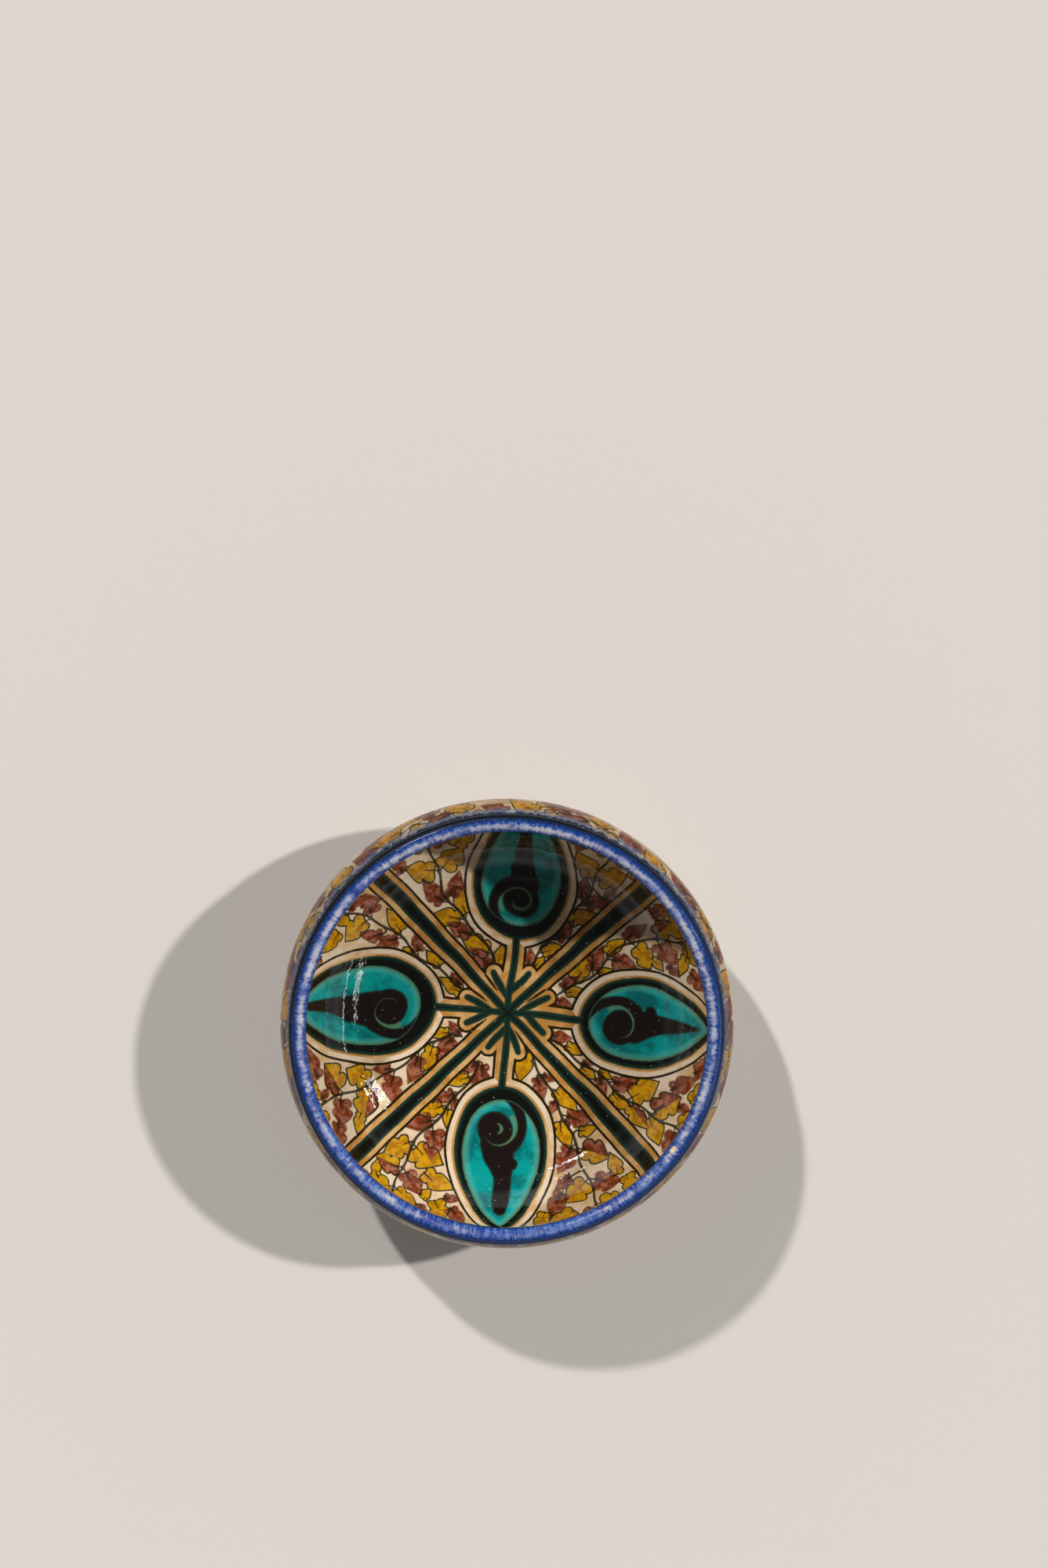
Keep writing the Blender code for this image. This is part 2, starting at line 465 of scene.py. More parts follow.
@dataclass(frozen=True)
class Medallion:
    """A pear-shaped turquoise field in a black ring, with a black scroll that grows out of the ring.

    The curl's middle, the tail (each point with the stroke's width there) and the lobes beside the tail are
    given along the medallion's axis and to its left, and the arm from the curl's middle, in millimetres. Each
    groove is a spiral about the curl's middle: where it starts and how far it winds in degrees, its first and
    last radius, and its widths, where a width below 0 lets the line fade. The head is the curl's radius, the
    ring the black ring's width, and the neck how much wider the ring is at the medallion's base.
    """

    base: tuple[float, float]
    aim: float
    length: float
    half_width: float
    curl: tuple[float, float]
    tail: tuple[tuple[float, float, float], ...]
    grooves: tuple[tuple[float, float, float, float, tuple[float, ...]], ...]
    lobes: tuple[tuple[float, float], ...] = ()
    head: float = 5.8
    ring: float = 2.9
    neck: float = 1.9

    ARM = ((-11.8, 0.8), (-9.8, 3.9), (-6.8, 6.7), (-2.8, 8.0), (0.9, 7.8), (4.1, 6.3), (6.1, 4.0))
    ARM_WIDTHS = (3.2, 3.4, 3.5, 3.5, 3.9, 4.8)
    ARM_STEP = 0.7
    ARM_ROUNDING = 7
    TAIL_STEP = 1.0
    LEAN = (0.3, -0.7)
    LOBE = 4.2
    # A round dot is a stroke of this length.
    DOT = 0.01
    # How blunt the pear is at its base and how sharp at its tip.
    BLUNT, SHARP = 0.5, 0.86
    OUTLINE_POINTS, GROOVE_POINTS = 48, 60

    def place(self, local: np.ndarray) -> np.ndarray:
        """Moves points from the medallion's own axes to the sheet.

        Args:
            local: Points along the axis and to its left, in millimetres.

        Returns:
            The same points on the sheet.
        """
        along = heading(self.aim)
        return self.base + local @ np.array([along, leftward(along)])

    def outline(self, neck: float = 0.0) -> np.ndarray:
        """The pear's outline on the sheet.

        Args:
            neck: How far from the medallion's base it starts, in millimetres.

        Returns:
            The outline's points.
        """
        share = (1 - np.cos(np.linspace(0, math.pi, self.OUTLINE_POINTS))) / 2
        swell = share ** self.BLUNT * (1 - share) ** self.SHARP
        along = neck + share * (self.length - neck)
        edge = np.column_stack([along, self.half_width * swell / swell.max()])
        return self.place(np.vstack([edge, edge[-2:0:-1] * [1, -1]]))

    def scroll(self) -> list[Stroke]:
        """The scroll's strokes on the sheet with their widths: its tail, the arm, its head and the lobes."""
        middle = np.array(self.curl)
        arm = smoothed(resample(middle + self.ARM, self.ARM_STEP), self.ARM_ROUNDING)
        tail = np.array(self.tail)
        path = resample(tail[:, :2], self.TAIL_STEP)
        widths = np.interp(arc_lengths(path), arc_lengths(tail[:, :2]), tail[:, 2])
        dots = [(middle + self.LEAN, 2 * self.head), *((np.array(lobe), self.LOBE) for lobe in self.lobes)]
        return [
            (self.place(path), widths),
            (self.place(arm), self.ARM_WIDTHS),
            *((self.place(np.array([spot, spot + self.DOT])), (wide, wide)) for spot, wide in dots),
        ]

    def wound(self) -> list[Stroke]:
        """The lines left between the scroll's turns, with their widths."""
        share = np.linspace(0, 1, self.GROOVE_POINTS)
        lines = []
        for start, sweep, first, last, widths in self.grooves:
            reach = (first + (last - first) * share)[:, None]
            path = self.curl + reach * ways_at(np.radians(start - sweep * share))
            lines.append((self.place(path), widths))
        return lines


class FreeGround:
    """A coarse plan of the lining that tells where its ground is still bare."""

    GRID = 0.9
    # How far bare ground keeps from each pigment, from the lip and from the bowl's middle, in millimetres.
    MARGINS = ((Pigment.FIGURE, 3.0), (Pigment.OCHRE, 0.1), (Pigment.MANGANESE, 0.1), (Pigment.PEN, 0.1))
    LIP = 3.5
    MIDDLE = 12.0
    # Nearer to the middle than this, narrower places are filled, and more fully.
    INNER = 32.0
    FULLER = 1.4
    # The ways that are tried for the longest, in degrees.
    WAYS = range(0, 180, 15)
    # How much longer than broad a round place counts, and how much more a drawn-out one.
    STRETCH = (1.1, 0.45)

    def __init__(self, reach: float) -> None:
        """Lays out the plan.

        Args:
            reach: The lining's length from the axis to the lip, in millimetres.
        """
        self.marks = np.arange(-reach, reach, self.GRID)
        self.spots = np.stack(np.meshgrid(self.marks, self.marks, indexing="ij"), -1).reshape(-1, 2)
        self.sheet = PaintSheet(self.spots, close=PaintSheet.FAR)
        out = np.linalg.norm(self.spots, axis=1)
        self.edge = np.minimum(reach - self.LIP - out, out - self.MIDDLE)
        self.fuller = np.where(out < self.INNER, self.FULLER, 1.0)

    def _at(self, values: np.ndarray, places: np.ndarray) -> np.ndarray:
        """Reads the plan.

        Args:
            values: One number for each of the plan's spots.
            places: Places on the lining, in millimetres.

        Returns:
            The numbers at the spots nearest to the places.
        """
        steps = np.clip(np.rint((places - self.marks[0]) / self.GRID).astype(int), 0, len(self.marks) - 1)
        return values[steps[:, 0] * len(self.marks) + steps[:, 1]]

    def widest(self) -> tuple[np.ndarray, float, np.ndarray, float]:
        """Finds the widest bare place.

        Returns:
            The place, its free radius in millimetres, the way in which it is longest, and how much longer
            it is that way.
        """
        taken = np.max([self.sheet.depth(pigment) + margin for pigment, margin in self.MARGINS], axis=0)
        free = np.minimum(-taken, self.edge) * self.fuller
        spot, radius = self.spots[free.argmax()], free.max()
        ways = np.array([heading(angle) for angle in self.WAYS])
        ends = np.minimum(self._at(free, spot + radius * ways), self._at(free, spot - radius * ways))
        least, more = self.STRETCH
        return spot, radius, ways[ends.argmax()], least + more * float(np.clip(ends.max() / radius, 0, 1))

    def contrast(self, spot: np.ndarray) -> LeafKind:
        """The wash that the leaf nearest to a spot doesn't have."""
        washes = (Pigment.OCHRE, Pigment.MANGANESE)
        ochre, manganese = (self._at(self.sheet.depth(wash), spot[None])[0] for wash in washes)
        return LeafKind.MANGANESE if ochre > manganese else LeafKind.OCHRE


@dataclass(frozen=True)
class LiningPainting:
    """The painting in the bowl: four bands, four medallions, hooks and eight vines about a centre.

    A band has its angle at the middle and at the lip. A hook has the angle of the spoke that it leaves, its
    own angle and that of its band. Lengths are in millimetres.
    """

    centre: tuple[float, float] = (0.3, -0.5)
    bands: tuple[tuple[float, float], ...] = ((42.5, 43.5), (133.0, 131.5), (224.0, 221.0), (313.0, 314.5))
    band_widths: tuple[float, ...] = (2.8, 3.0, 3.6, 4.4, 4.9, 5.2, 5.2)
    band_margin: float = -0.75
    band_points: int = 24
    spoke_widths: tuple[float, ...] = (2.2, 2.6, 2.6)
    # Where a spoke ends, along its medallion's axis and to its left.
    spoke_end: tuple[float, float] = (-1.5, 0.0)
    hooks: tuple[tuple[float, float, float], ...] = (
        (0.0, 17.0, 42.5), (90.0, 60.0, 42.5), (90.0, 109.0, 133.0), (180.0, 160.0, 133.0),
        (180.0, 197.0, 224.0), (270.0, 243.0, 224.0), (270.0, 283.0, 313.0), (360.0, 329.0, 313.0),
    )
    hook_bow: tuple[tuple[float, float], ...] = ((4.5, 0.0), (7.5, 0.6), (10.5, 0.9), (13.4, 1.0))
    hook_widths: tuple[float, ...] = (1.4, 2.2, 2.5, 2.4, 2.1)
    hook_margin: float = -1.0
    hook_step: float = 0.6
    seam_bow: tuple[tuple[float, float], ...] = ((7.0, 0.2), (10.0, 0.36), (13.5, 0.45))
    seam_widths: tuple[float, ...] = (0.4, 0.9, 0.8)
    seam_gap: float = 22.0
    medallions: tuple[Medallion, ...] = (
        Medallion(
            (3.0, 26.0), 85.0, 46.0, 12.3, (10.0, -0.1),
            ((45.0, 0.0, 4.6), (32.0, -0.2, 4.2), (29.0, 0.1, 5.6), (24.0, -0.5, 6.2), (20.5, -0.4, 8.0),
             (16.0, -1.0, 10.5)),
            ((125, 385, 6.1, 1.7, (1.3, 0.9, 0.6, 0.6, 0.8, 1.4, 0.9, 0.3)),),
            ((21.6, 2.0),),
        ),
        Medallion(
            (-26.4, 1.7), 176.5, 46.0, 12.8, (11.3, 1.1),
            ((43.0, -0.4, 2.6), (39.0, -0.4, 3.4), (31.0, -0.1, 5.4), (26.0, 0.6, 7.4), (22.5, 0.6, 9.0),
             (18.5, 1.0, 11.6), (15.5, 0.8, 12.0)),
            ((125, 275, 6.1, 3.0, (1.6, 0.9, 0.2, 0.0, 0.1, -0.1)),),
            ((24.4, 3.4),), head=6.3, ring=3.6,
        ),
        Medallion(
            (-1.8, -26.8), 269.0, 46.0, 12.1, (10.6, -1.2),
            ((38.6, 0.2, 4.4), (35.0, 0.3, 5.8), (28.4, 0.6, 6.0), (25.8, 0.4, 6.4), (22.3, 0.0, 8.6),
             (18.8, -1.0, 10.6), (15.5, -1.5, 11.0)),
            ((125, 190, 6.1, 4.6, (1.7, 1.1, 0.6, 0.2, -0.2)), (170, 150, 1.7, 1.3, (0.3, 1.0, 0.4))),
            ((22.2, 3.4),),
        ),
        Medallion(
            (25.8, -2.9), 359.5, 42.5, 11.8, (9.9, -1.0),
            ((38.0, -0.3, 1.2), (30.0, -0.5, 4.3), (23.4, -0.4, 6.3), (19.0, -0.4, 8.8), (15.0, -1.4, 10.6)),
            ((125, 215, 6.1, 3.9, (1.5, 0.9, 0.7, 0.4, -0.2)),),
            ((20.5, 3.5),), neck=0.4,
        ),
    )
    vines: tuple[Vine, ...] = (
        Vine(((15, 104), (39, 118), (60, 114)), "momomo", "ommomo"),
        Vine(((15, 152), (45, 143), (64, 146)), "omomo", "momom"),
        Vine(((15, 62), (42, 56), (61, 58)), "mo-mmo", "oomomo"),
        Vine(((19, 18), (44, 32), (62, 24)), "momomb", "omomom"),
        Vine(((19, 201), (43, 208), (68, 204)), "mommbm", "omomob"),
        Vine(((19, 243), (49, 234), (68, 236)), "momomom", "momomob"),
        Vine(((14, 298), (39, 298), (69, 296)), "omombm", "ommomo"),
        Vine(((15, 327), (47, 324), (66, 327)), "momomob", "omomobo"),
    )
    stem_widths: tuple[float, ...] = (0.9, 0.9, 0.8)
    stalk_widths: tuple[float, ...] = (0.75, 0.65, 0.6)
    # How far a leaf stands off its stem, at most and as a share of its room, and how many times as far back
    # the stalk leaves the stem.
    standoff: float = 1.1
    standoff_share: float = 0.25
    stalk_run: float = 2.5
    leaf_lengths: tuple[float, float] = (9.0, 11.5)
    leaf_breadths: tuple[float, float] = (0.29, 0.41)
    # How much of its stretch of the stem a leaf fills with half its width.
    leaf_share: float = 0.6
    # The sine of the least and the greatest angle between a leaf and its stem.
    lean: tuple[float, float] = (0.36, 0.87)
    # A stem's room is measured as far as this, and a leaf needs at least so much of it.
    most_room: float = 15.0
    least_room: float = 1.8
    border: float = 2.9
    # A bare place of this radius gets a leaf, with its length in radii and its breadth as a share of the
    # length. A stem within the tether gets a stalk, which bends this share of the length before the leaf.
    fill_in_room: float = 1.75
    fill_in_length: float = 2.4
    fill_in_breadth: float = 0.4
    fill_in_bend: float = 0.3
    tether: float = 6.0
    most_fill_ins: int = 200
    reach: float = 89.0
    seed: int = 11

    def figure(self, sheet: PaintSheet) -> None:
        """Paints the broad black drawing and the turquoise fields.

        Args:
            sheet: The lining laid flat.
        """
        middle = np.array(self.centre)
        lines = []
        for near, far in self.bands:
            share = np.linspace(0, 1, self.band_points)
            path = [middle * (1 - s) + self.reach * s * heading(near + (far - near) * s) for s in share]
            lines.append((np.array(path), self.band_widths, self.band_margin))
        for medallion in self.medallions:
            spoke = np.array([middle, medallion.place(np.array([self.spoke_end]))[0]])
            lines.append((spoke, self.spoke_widths, self.band_margin))
            sheet.fill(Pigment.TURQUOISE, medallion.outline(medallion.neck))
            for pigment in (Pigment.BLACK, Pigment.FIGURE, Pigment.BORDER):
                sheet.fill(pigment, medallion.outline(), medallion.ring)
            for pigment, strokes in ((Pigment.SCROLL, medallion.scroll()), (Pigment.CURL, medallion.wound())):
                for path, widths in strokes:
                    sheet.stroke(pigment, path, widths)
        for spoke, angle, band in self.hooks:
            path = [reach * heading(spoke + (angle - spoke) * share) for reach, share in self.hook_bow]
            lines.append((resample(np.array(path), self.hook_step), self.hook_widths, self.hook_margin))
            if abs(band - angle) > self.seam_gap:
                seam = [reach * heading(angle + (band - angle) * share) for reach, share in self.seam_bow]
                sheet.stroke(Pigment.SEAM, np.array(seam), self.seam_widths)
        for path, widths, margin in lines:
            sheet.stroke(Pigment.BLACK, path, widths)
            sheet.stroke(Pigment.FIGURE, path, widths, margin)

    def foliage(self, sheet: PaintSheet) -> None:
        """Paints the vines in the space that the broad drawing leaves.

        Args:
            sheet: The lining laid flat.
        """
        rng = np.random.default_rng(self.seed)
        ground = FreeGround(self.reach)
        self.figure(ground.sheet)
        sheets = (sheet, ground.sheet)
        stems = [vine.path() for vine in self.vines]
        for vine, path in zip(self.vines, stems):
            for target in sheets:
                target.stroke(Pigment.PEN, path, self.stem_widths)
            along = directions(path)
            for side, kinds in ((1, vine.left), (-1, vine.right)):
                aside = side * leftward(along)
                room = self._room(path, aside)
                for first, last, kind in vine.cells(room, kinds):
                    middle = (first + last) // 2
                    wide, long = room[middle], (last - first) * Vine.STEP
                    if wide < self.least_room or kind is LeafKind.NONE:
                        continue
                    gap = min(self.standoff, self.standoff_share * wide)
                    length = rng.uniform(*self.leaf_lengths)
                    sine = float(np.clip((wide - gap) / length, *self.lean))
                    length = min(length, (wide - gap) / sine)
                    cosine = math.sqrt(1 - sine ** 2)
                    aim = cosine * along[middle] + sine * aside[middle]
                    at = max(0, middle - round(0.5 * length * cosine / Vine.STEP))
                    root = max(0, at - round(self.stalk_run * gap / Vine.STEP))
                    base = path[at] + gap * aside[at]
                    breadth = float(np.clip(self.leaf_share * long * sine / length, *self.leaf_breadths))
                    leaf = Leaf.drawn(rng, base, aim, length, breadth, kind)
                    for target in sheets:
                        target.stroke(Pigment.PEN, bow(path[root], path[at], base), self.stalk_widths)
                        leaf.paint(target)
        self._fill_in(sheet, ground, np.vstack(stems), rng)

    def _fill_in(
        self, sheet: PaintSheet, ground: FreeGround, stems: np.ndarray, rng: np.random.Generator
    ) -> None:
        """Paints smaller leaves wherever the ground is still bare.

        Args:
            sheet: The lining laid flat.
            ground: The plan of its bare ground.
            stems: The points of all the stems.
            rng: The source of the leaves' small chances.
        """
        for _ in range(self.most_fill_ins):
            spot, free, way, stretch = ground.widest()
            if free < self.fill_in_room:
                return
            root = stems[np.linalg.norm(stems - spot, axis=1).argmin()]
            aim = way if way @ (spot - root) > 0 else -way
            length = min(self.leaf_lengths[1], self.fill_in_length * free * stretch)
            base = spot - 0.5 * length * aim
            breadth = self.fill_in_breadth / stretch
            leaf = Leaf.drawn(rng, base, aim, length, breadth, ground.contrast(spot))
            for target in (sheet, ground.sheet):
                leaf.paint(target)
            if np.linalg.norm(base - root) < self.tether:
                bend = base - self.fill_in_bend * length * aim
                sheet.stroke(Pigment.PEN, bow(root, bend, base), self.stalk_widths)

    def _room(self, path: np.ndarray, aside: np.ndarray) -> np.ndarray:
        """Measures the free space beside a stem.

        Args:
            path: The stem's points.
            aside: At each point, the way to the side that is measured.

        Returns:
            The free space beside each point, in millimetres.
        """
        reach = np.arange(Vine.STEP, self.most_room, Vine.STEP)
        trial = PaintSheet((path[:, None] + reach[:, None] * aside[:, None]).reshape(-1, 2))
        self.figure(trial)
        taken = trial.depth(Pigment.FIGURE).reshape(len(path), -1) > -self.border
        return np.where(taken.any(1), Vine.STEP * taken.argmax(1), reach[-1])

    def paint(self, sheet: PaintSheet) -> None:
        """Paints the whole lining.

        Args:
            sheet: The lining laid flat, its middle on the bowl's axis.
        """
        self.figure(sheet)
        self.foliage(sheet)


@dataclass(frozen=True)
class OutsidePainting:
    """The painting outside: waving vines of ochre and manganese leaves, above two lines.

    A vine has its height above the glaze's lower edge, its swing and where its wave starts.
    """

    vines: tuple[tuple[float, float, float], ...] = ((57.0, 2.5, 0.0), (43.0, 4.0, 2.0), (29.0, 4.0, 4.0))
    waves: int = 9
    spacing: float = 5.5
    stem_widths: tuple[float, ...] = (0.6, 0.5)
    lean: tuple[float, float] = (28.0, 52.0)
    lengths: tuple[float, float] = (9.5, 12.0)
    breadths: tuple[float, float] = (0.32, 0.4)
    standoff: float = 0.8
    lines: tuple[float, ...] = (3.0, 5.2)
    line_widths: tuple[float, ...] = (0.8, 0.7)
    step: float = 0.6
    run: int = 30
    # How far along the stem a leaf may stray, and how far before the lap's end the last one stands.
    stray: float = 0.8
    lap_gap: float = 2.0
    seed: int = 23

    def paint(self, sheet: PaintSheet) -> None:
        """Paints the outside wall.

        Args:
            sheet: The wall laid flat: the way round, and the way up from the glaze's lower edge.
        """
        rng = np.random.default_rng(self.seed)
        wave = 2 * math.pi * self.waves / sheet.lap
        lap = np.arange(0.0, sheet.lap + self.step, self.step)
        stems = [height + swing * np.sin(lap * wave + start) for height, swing, start in self.vines]
        courses = [(stem, self.stem_widths) for stem in stems]
        courses += [(np.full(len(lap), line), self.line_widths) for line in self.lines]
        for rise, widths in courses:
            for first in range(0, len(lap) - 1, self.run):
                part = slice(first, first + self.run + 1)
                sheet.stroke(Pigment.PEN, np.column_stack([lap[part], rise[part]]), widths)
        for stem in stems:
            path = np.column_stack([lap, stem])
            along = directions(path)
            for number, at in enumerate(np.arange(0.0, sheet.lap - self.lap_gap, self.spacing)):
                place = min(len(path) - 1, round((at + rng.uniform(-self.stray, self.stray)) / self.step))
                lean = math.radians(rng.uniform(*self.lean))
                side = 1 if number % 2 else -1
                aim = math.cos(lean) * along[place] + side * math.sin(lean) * leftward(along[place])
                kind = LeafKind.OCHRE if (number + 1) // 2 % 2 else LeafKind.MANGANESE
                size = rng.uniform(*self.lengths), rng.uniform(*self.breadths)
                Leaf.drawn(rng, path[place] + self.standoff * aim, aim, *size, kind).paint(sheet)


Painting = Union[LiningPainting, OutsidePainting]


def section(part: bpy.types.Object) -> np.ndarray:
    """The radius and height of each vertex of a turned part, in metres."""
    points = np.array([vertex.co for vertex in part.data.vertices])
    return np.column_stack([np.hypot(points[:, 0], points[:, 1]), points[:, 2]])


def behind(front: np.ndarray, glaze: float) -> np.ndarray:
    """The back of a glaze.

    Args:
        front: Radius and height along the visible face, which looks to the left of its own way.
        glaze: The glaze's thickness.

    Returns:
        Radius and height along the back, from the face's end to its start.
    """
    return resample(front - glaze * leftward(directions(front)), BACK_STEP)[::-1]


@dataclass(frozen=True)
class BowlForm:
    """The bowl's visible sizes in metres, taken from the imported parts."""

    belly: tuple[float, float]
    outer_depth: float
    lining_radius: float
    floor: float
    neck: float
    neck_inner: float
    neck_outer: float
    lip_outer: float
    lip_top: float
    lip_thickness: float
    glaze: float
    glaze_line: float

    # How many points the round, the neck and the lip are drawn with.
    ROUND_POINTS, NECK_POINTS, LIP_POINTS = 400, 120, 60

    @classmethod
    def from_parts(cls, parts: dict[str, bpy.types.Object]) -> "BowlForm":
        """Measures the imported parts.

        Args:
            parts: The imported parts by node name.

        Returns:
            The bowl's sizes.
        """
        nodes = ("outer_glaze", "inner_glaze", "rim_glaze", "base_glaze")
        outer, inner, rim, base = (section(parts[node]) for node in nodes)
        belly, neck = outer[outer[:, 0].argmax()], outer[:, 1].max()
        axis = inner[inner[:, 0] < NEAR, 1]
        glaze = axis.max() - axis.min()
        return cls(
            belly=tuple(belly),
            outer_depth=belly[1] - base[:, 1].min(),
            lining_radius=inner[:, 0].max() - glaze,
            floor=axis.max(),
            neck=neck,
            neck_inner=inner[inner[:, 1] > neck - NEAR, 0].min(),
            neck_outer=outer[outer[:, 1] > neck - NEAR, 0].max(),
            lip_outer=rim[:, 0].max(),
            lip_top=rim[:, 1].max(),
            lip_thickness=rim[:, 0].max() - rim[:, 0].min(),
            glaze=glaze,
            glaze_line=outer[:, 0].min(),
        )

    def wall(self, radius: float, depth: float, neck: float) -> np.ndarray:
        """A wall face's section: round from the axis to the belly, then drawn in to the neck.

        Args:
            radius: The face's radius at the belly.
            depth: How far below the belly the face meets the axis.
            neck: The face's radius at the neck.

        Returns:
            Radius and height of points along the face.
        """
        turn = np.linspace(0, math.pi / 2, self.ROUND_POINTS)
        level = self.belly[1]
        lower = np.column_stack([radius * np.sin(turn), level - depth * np.cos(turn)])
        rise = np.linspace(0, 1, self.NECK_POINTS)[1:]
        upper = np.column_stack([radius + (neck - radius) * rise ** 2, level + (self.neck - level) * rise])
        return np.vstack([lower, upper])

    def lining(self) -> np.ndarray:
        """The lining's visible face, from the axis up to the neck."""
        return self.wall(self.lining_radius, self.belly[1] - self.floor, self.neck_inner)

    def outside(self) -> np.ndarray:
        """The outside's visible face, from the neck down to the glaze's lower edge."""
        face = self.wall(self.belly[0], self.outer_depth, self.neck_outer)
        return face[face[:, 0] > self.glaze_line][::-1]

    def lip(self, inset: float = 0.0, droop: float = 24.0) -> np.ndarray:
        """The lip's round section, from the neck inside over the top to the neck outside.

        Args:
            inset: How far inside the visible face the section lies.
            droop: How far below its middle the round reaches, in degrees.

        Returns:
            Radius and height of points along the section.
        """
        reach = self.lip_thickness / 2
        turn = np.radians(np.linspace(180 + droop, -droop, self.LIP_POINTS))
        middle = np.array([self.lip_outer - reach, self.lip_top - reach])
        return middle + (reach - inset) * ways_at(turn)


class Throwing:
    """How the potter's wheel left the bowl a little out of true, the same for all its pieces."""

    OVAL = 0.0016
    OVAL_WAVES = ((1.0, 2, -0.7), (0.5, 3, 1.1))
    RIM_DIP = 0.22 * MM
    DIP_WAVES = ((1.0, 1, -2.0), (0.6, 2, 0.4))
    # The rim dips from this level, so that it falls more than it rises.
    DIP_LEVEL = 1.2
    HEIGHT = 56 * MM

    @classmethod
    def apply(cls, reach: np.ndarray, rise: np.ndarray, turn: np.ndarray) -> tuple[np.ndarray, np.ndarray]:
        """Moves points from the true round form to the thrown one.

        Args:
            reach: Each point's radius in metres.
            rise: Each point's height in metres.
            turn: Each point's angle about the axis.

        Returns:
            The thrown radii and heights.
        """
        share = np.clip(rise / cls.HEIGHT, 0, 1) ** 2
        oval = cls.OVAL * share * waves(turn, cls.OVAL_WAVES)
        dip = cls.RIM_DIP * share * (waves(turn, cls.DIP_WAVES) - cls.DIP_LEVEL)
        return reach * (1 + oval), rise + dip


class TurnedShell:
    """A closed shell turned about the bowl's axis: a fine visible face and a plainer back."""

    GRAIN = 0.42 * MM
    LEAST, MOST = 8, 1024
    # On the texture, the visible face and the back each fill a disc: its radius and its middle.
    FRONT_DISC = (0.40, (0.41, 0.59))
    BACK_DISC = (0.085, (0.905, 0.095))

    def __init__(self, name: str, front: np.ndarray, back: np.ndarray) -> None:
        """Lays out the shell's rings.

        Args:
            name: The piece's name.
            front: Radius and height along the visible face.
            back: Radius and height along the back, from the face's end to its start.
        """
        self.name = name
        self.front, self.back = front, back
        rings = np.vstack([front, back])
        self.counts = [self._count(radius) for radius in rings[:, 0]]
        self.starts = np.concatenate([[0], np.cumsum(self.counts)])
        ring = np.repeat(np.arange(len(rings)), self.counts)
        self.turn = np.concatenate([np.arange(count) * 2 * math.pi / count for count in self.counts])
        self.on_front = ring < len(front)
        self.reach, self.rise = rings[ring].T
        # How far along the visible face each vertex lies, in millimetres.
        self.along = np.concatenate([arc_lengths(front), np.zeros(len(back))])[ring] / MM
        self.facing = np.vstack([leftward(directions(front)), np.zeros((len(back), 2))])[ring]
        self.layers: dict[str, np.ndarray] = {}

    def _count(self, radius: float) -> int:
        """How many vertices a ring takes, a power of two."""
        if radius < NEAR:
            return 1
        return min(self.MOST, max(self.LEAST, 2 ** math.ceil(math.log2(2 * math.pi * radius / self.GRAIN))))

    def push(self, out: np.ndarray) -> None:
        """Moves the visible face along its own facing.

        Args:
            out: How far each vertex moves out, in millimetres.
        """
        self.reach = self.reach + self.facing[:, 0] * out * MM
        self.rise = self.rise + self.facing[:, 1] * out * MM

    def paint(self, painting: Painting, flat: np.ndarray, lap: float = 0.0) -> None:
        """Paints the visible face and keeps each pigment's depth for the finish to read.

        Args:
            painting: What is painted on it.
            flat: All the vertices on the flat sheet, in millimetres.
            lap: The length after which the sheet meets itself again, or 0 if it doesn't.
        """
        sheet = PaintSheet(flat[self.on_front], lap)
        painting.paint(sheet)
        for pigment in Pigment:
            depth = np.full(len(flat), NOWHERE)
            depth[self.on_front] = sheet.depth(pigment)
            self.layers[pigment.value] = depth

    def _faces(self) -> tuple[list[list[int]], np.ndarray]:
        """The shell's faces and the place of each of their corners on the texture."""
        total, first = len(self.counts), len(self.front)
        closed = np.vstack([self.front[-1:], self.back, self.front[:1]])
        spread = [
            (self.front, self.FRONT_DISC, [*range(first)]),
            (closed, self.BACK_DISC, [*range(first - 1, total), 0]),
        ]
        found: list[tuple[int, np.ndarray, np.ndarray]] = []
        for path, (size, middle), order in spread:
            disc = self._unrolled(path)
            disc = disc / disc.max() * size
            for slot, (inner, outer) in enumerate(zip(order[:-1], order[1:])):
                few, many = self.counts[inner], self.counts[outer]
                for corners in self._join(few, many):
                    ring, number = corners[..., 0], corners[..., 1]
                    around = np.where(ring == 0, few, many)
                    ids = np.where(ring == 0, self.starts[inner], self.starts[outer]) + number % around
                    angle = 2 * math.pi * number / around
                    radius = np.where(ring == 0, disc[slot], disc[slot + 1])
                    place = ways_at(angle) * radius[..., None] + middle
                    found.append((ids.shape[1], ids, place.reshape(-1, 2)))
        found.sort(key=itemgetter(0), reverse=True)
        faces = [face for _, ids, _ in found for face in ids.tolist()]
        return faces, np.concatenate([places for _, _, places in found])

    @staticmethod
    def _unrolled(path: np.ndarray) -> np.ndarray:
        """The radius of each ring once the section is laid out as a flat disc."""
        arc = arc_lengths(path)
        return path[-1, 0] + arc[-1] - arc if path[-1, 0] < path[0, 0] else path[0, 0] + arc

    @staticmethod
    def _join(few: int, many: int) -> list[np.ndarray]:
        """Joins two rings.

        Args:
            few: How many vertices the first ring has.
            many: How many the second ring has.

        Returns:
            Blocks of faces, each corner as its ring, 0 or 1, and its number there.
        """
        least = min(few, many)
        number = np.arange(least if least > 1 else max(few, many))

        def faces(*corners: tuple[int, np.ndarray]) -> np.ndarray:
            """One face for each number, from its corners' rings and places."""
            return np.stack([np.stack([np.full_like(place, ring), place], -1) for ring, place in corners], 1)

